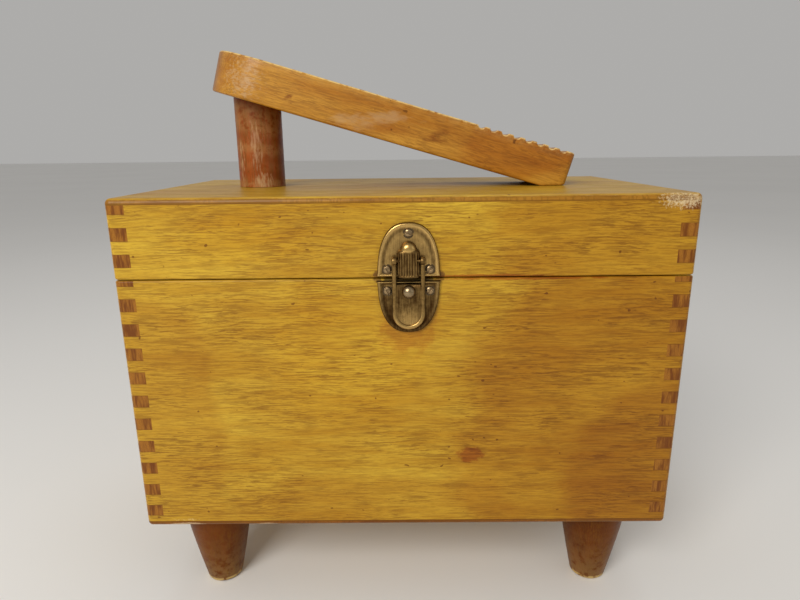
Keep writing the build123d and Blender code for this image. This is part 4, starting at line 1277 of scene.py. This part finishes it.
class SHINE_OT_stage(bpy.types.Operator):
    """Lay the floor, set the soft lights and stand the camera."""

    bl_idname = "shine.stage"
    bl_label = "Stage"

    def execute(self, context):
        scene, stage = context.scene, context.scene.shine_stage
        scene.view_settings.view_transform = "Standard"
        row = FLOOR_CELLS + 1
        x, y = np.meshgrid(*[np.linspace(-1, 1, row) * FLOOR_HALF] * 2)
        grid = np.stack([x, y, np.zeros_like(x)], -1)
        i = np.arange(FLOOR_CELLS)[:, None] * row + np.arange(FLOOR_CELLS)[None]
        quads = np.stack([i, i + 1, i + row + 1, i + row], -1).reshape(-1, 4)
        mesh = bpy.data.meshes.new("floor")
        mesh.from_pydata(grid.reshape(-1, 3).tolist(), [], quads.tolist())
        made, w, shader = new_material("pale_floor")
        cloud = w.ramp(w.noise(w.place(), (1.5, 1.5, 1.5), 3.0), 0.3, 0.7, 0.0, 1.0)
        tone = w.mix(w.times(cloud, 0.25), rgba(stage.floor), rgba(darker(stage.floor, 0.92)))
        connect(w, shader, tone, w.ramp(cloud, 0.0, 1.0, 0.75, 0.85))
        mesh.materials.append(made)
        floor = bpy.data.objects.new("floor", mesh)
        scene.collection.objects.link(floor)
        world = bpy.data.worlds.new("soft_surround")
        world.use_nodes = True
        background = world.node_tree.nodes["Background"]
        background.inputs["Color"].default_value = (1.0, 0.985, 0.96, 1.0)
        background.inputs["Strength"].default_value = stage.sky
        scene.world = world
        aim = ((-0.5, -1.0, 0.85), (-0.04, 0, 0.15))
        soft_light("key_light", *aim, (0.6, 0.6), stage.key, (1.0, 0.97, 0.92))
        soft_light("fill_light", (1.2, -0.7, 0.7), (0, 0, 0.15), (0.9, 0.9), stage.fill, (0.95, 0.97, 1.0))
        soft_light("top_light", (0.1, 0.5, 1.5), (0, 0, 0.2), (1.2, 0.8), stage.fill * 2.0, (1.0, 1.0, 1.0))
        camera = bpy.data.cameras.new("camera")
        camera.sensor_width = 36.0
        camera.lens = stage.lens
        camera.clip_start = 0.01
        level = cos(stage.tilt)
        ahead = np.array([sin(stage.turn) * level, cos(stage.turn) * level, -sin(stage.tilt)])
        right = np.array([cos(stage.turn), -sin(stage.turn), 0.0])
        above = np.cross(right, ahead)
        c, s = cos(stage.roll), sin(stage.roll)
        columns = (c * right + s * above, -s * right + c * above, -ahead)
        viewer = bpy.data.objects.new("camera", camera)
        viewer.matrix_world = Matrix.Translation(stage.place) @ Matrix(columns).transposed().to_4x4()
        scene.collection.objects.link(viewer)
        scene.camera = viewer
        return {"FINISHED"}


OPERATORS = (
    SHINE_OT_effects,
    SHINE_OT_case,
    SHINE_OT_lid,
    SHINE_OT_inside,
    SHINE_OT_feet,
    SHINE_OT_footrest,
    SHINE_OT_catch,
    SHINE_OT_hardware,
    SHINE_OT_stage,
)


class SHINE_PT_panel(bpy.types.Panel):
    """Lists the pieces and the settings of the shoe-shine box."""

    bl_idname = "SHINE_PT_panel"
    bl_label = "Shoe-shine box"
    bl_space_type = "VIEW_3D"
    bl_region_type = "UI"
    bl_category = "Shine box"

    def draw(self, context):
        for made in OPERATORS:
            self.layout.operator(made.bl_idname)
        for name, group in GROUPS.items():
            box = self.layout.box()
            for key in group.__annotations__:
                box.prop(getattr(context.scene, name), key)


def register():
    """Adds the settings, the operators and the panel."""
    for group in GROUPS.values():
        bpy.utils.register_class(group)
    for made in OPERATORS + (SHINE_PT_panel,):
        bpy.utils.register_class(made)
    for name, group in GROUPS.items():
        setattr(bpy.types.Scene, name, PointerProperty(type=group))


def unregister():
    """Takes them away again, in the opposite order."""
    for name in GROUPS:
        delattr(bpy.types.Scene, name)
    for made in reversed(OPERATORS + (SHINE_PT_panel,)):
        bpy.utils.unregister_class(made)
    for group in reversed(list(GROUPS.values())):
        bpy.utils.unregister_class(group)


def main():
    """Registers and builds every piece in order."""
    register()
    for made in OPERATORS:
        family, action = made.bl_idname.split(".")
        getattr(getattr(bpy.ops, family), action)()


if __name__ == "__main__":
    main()
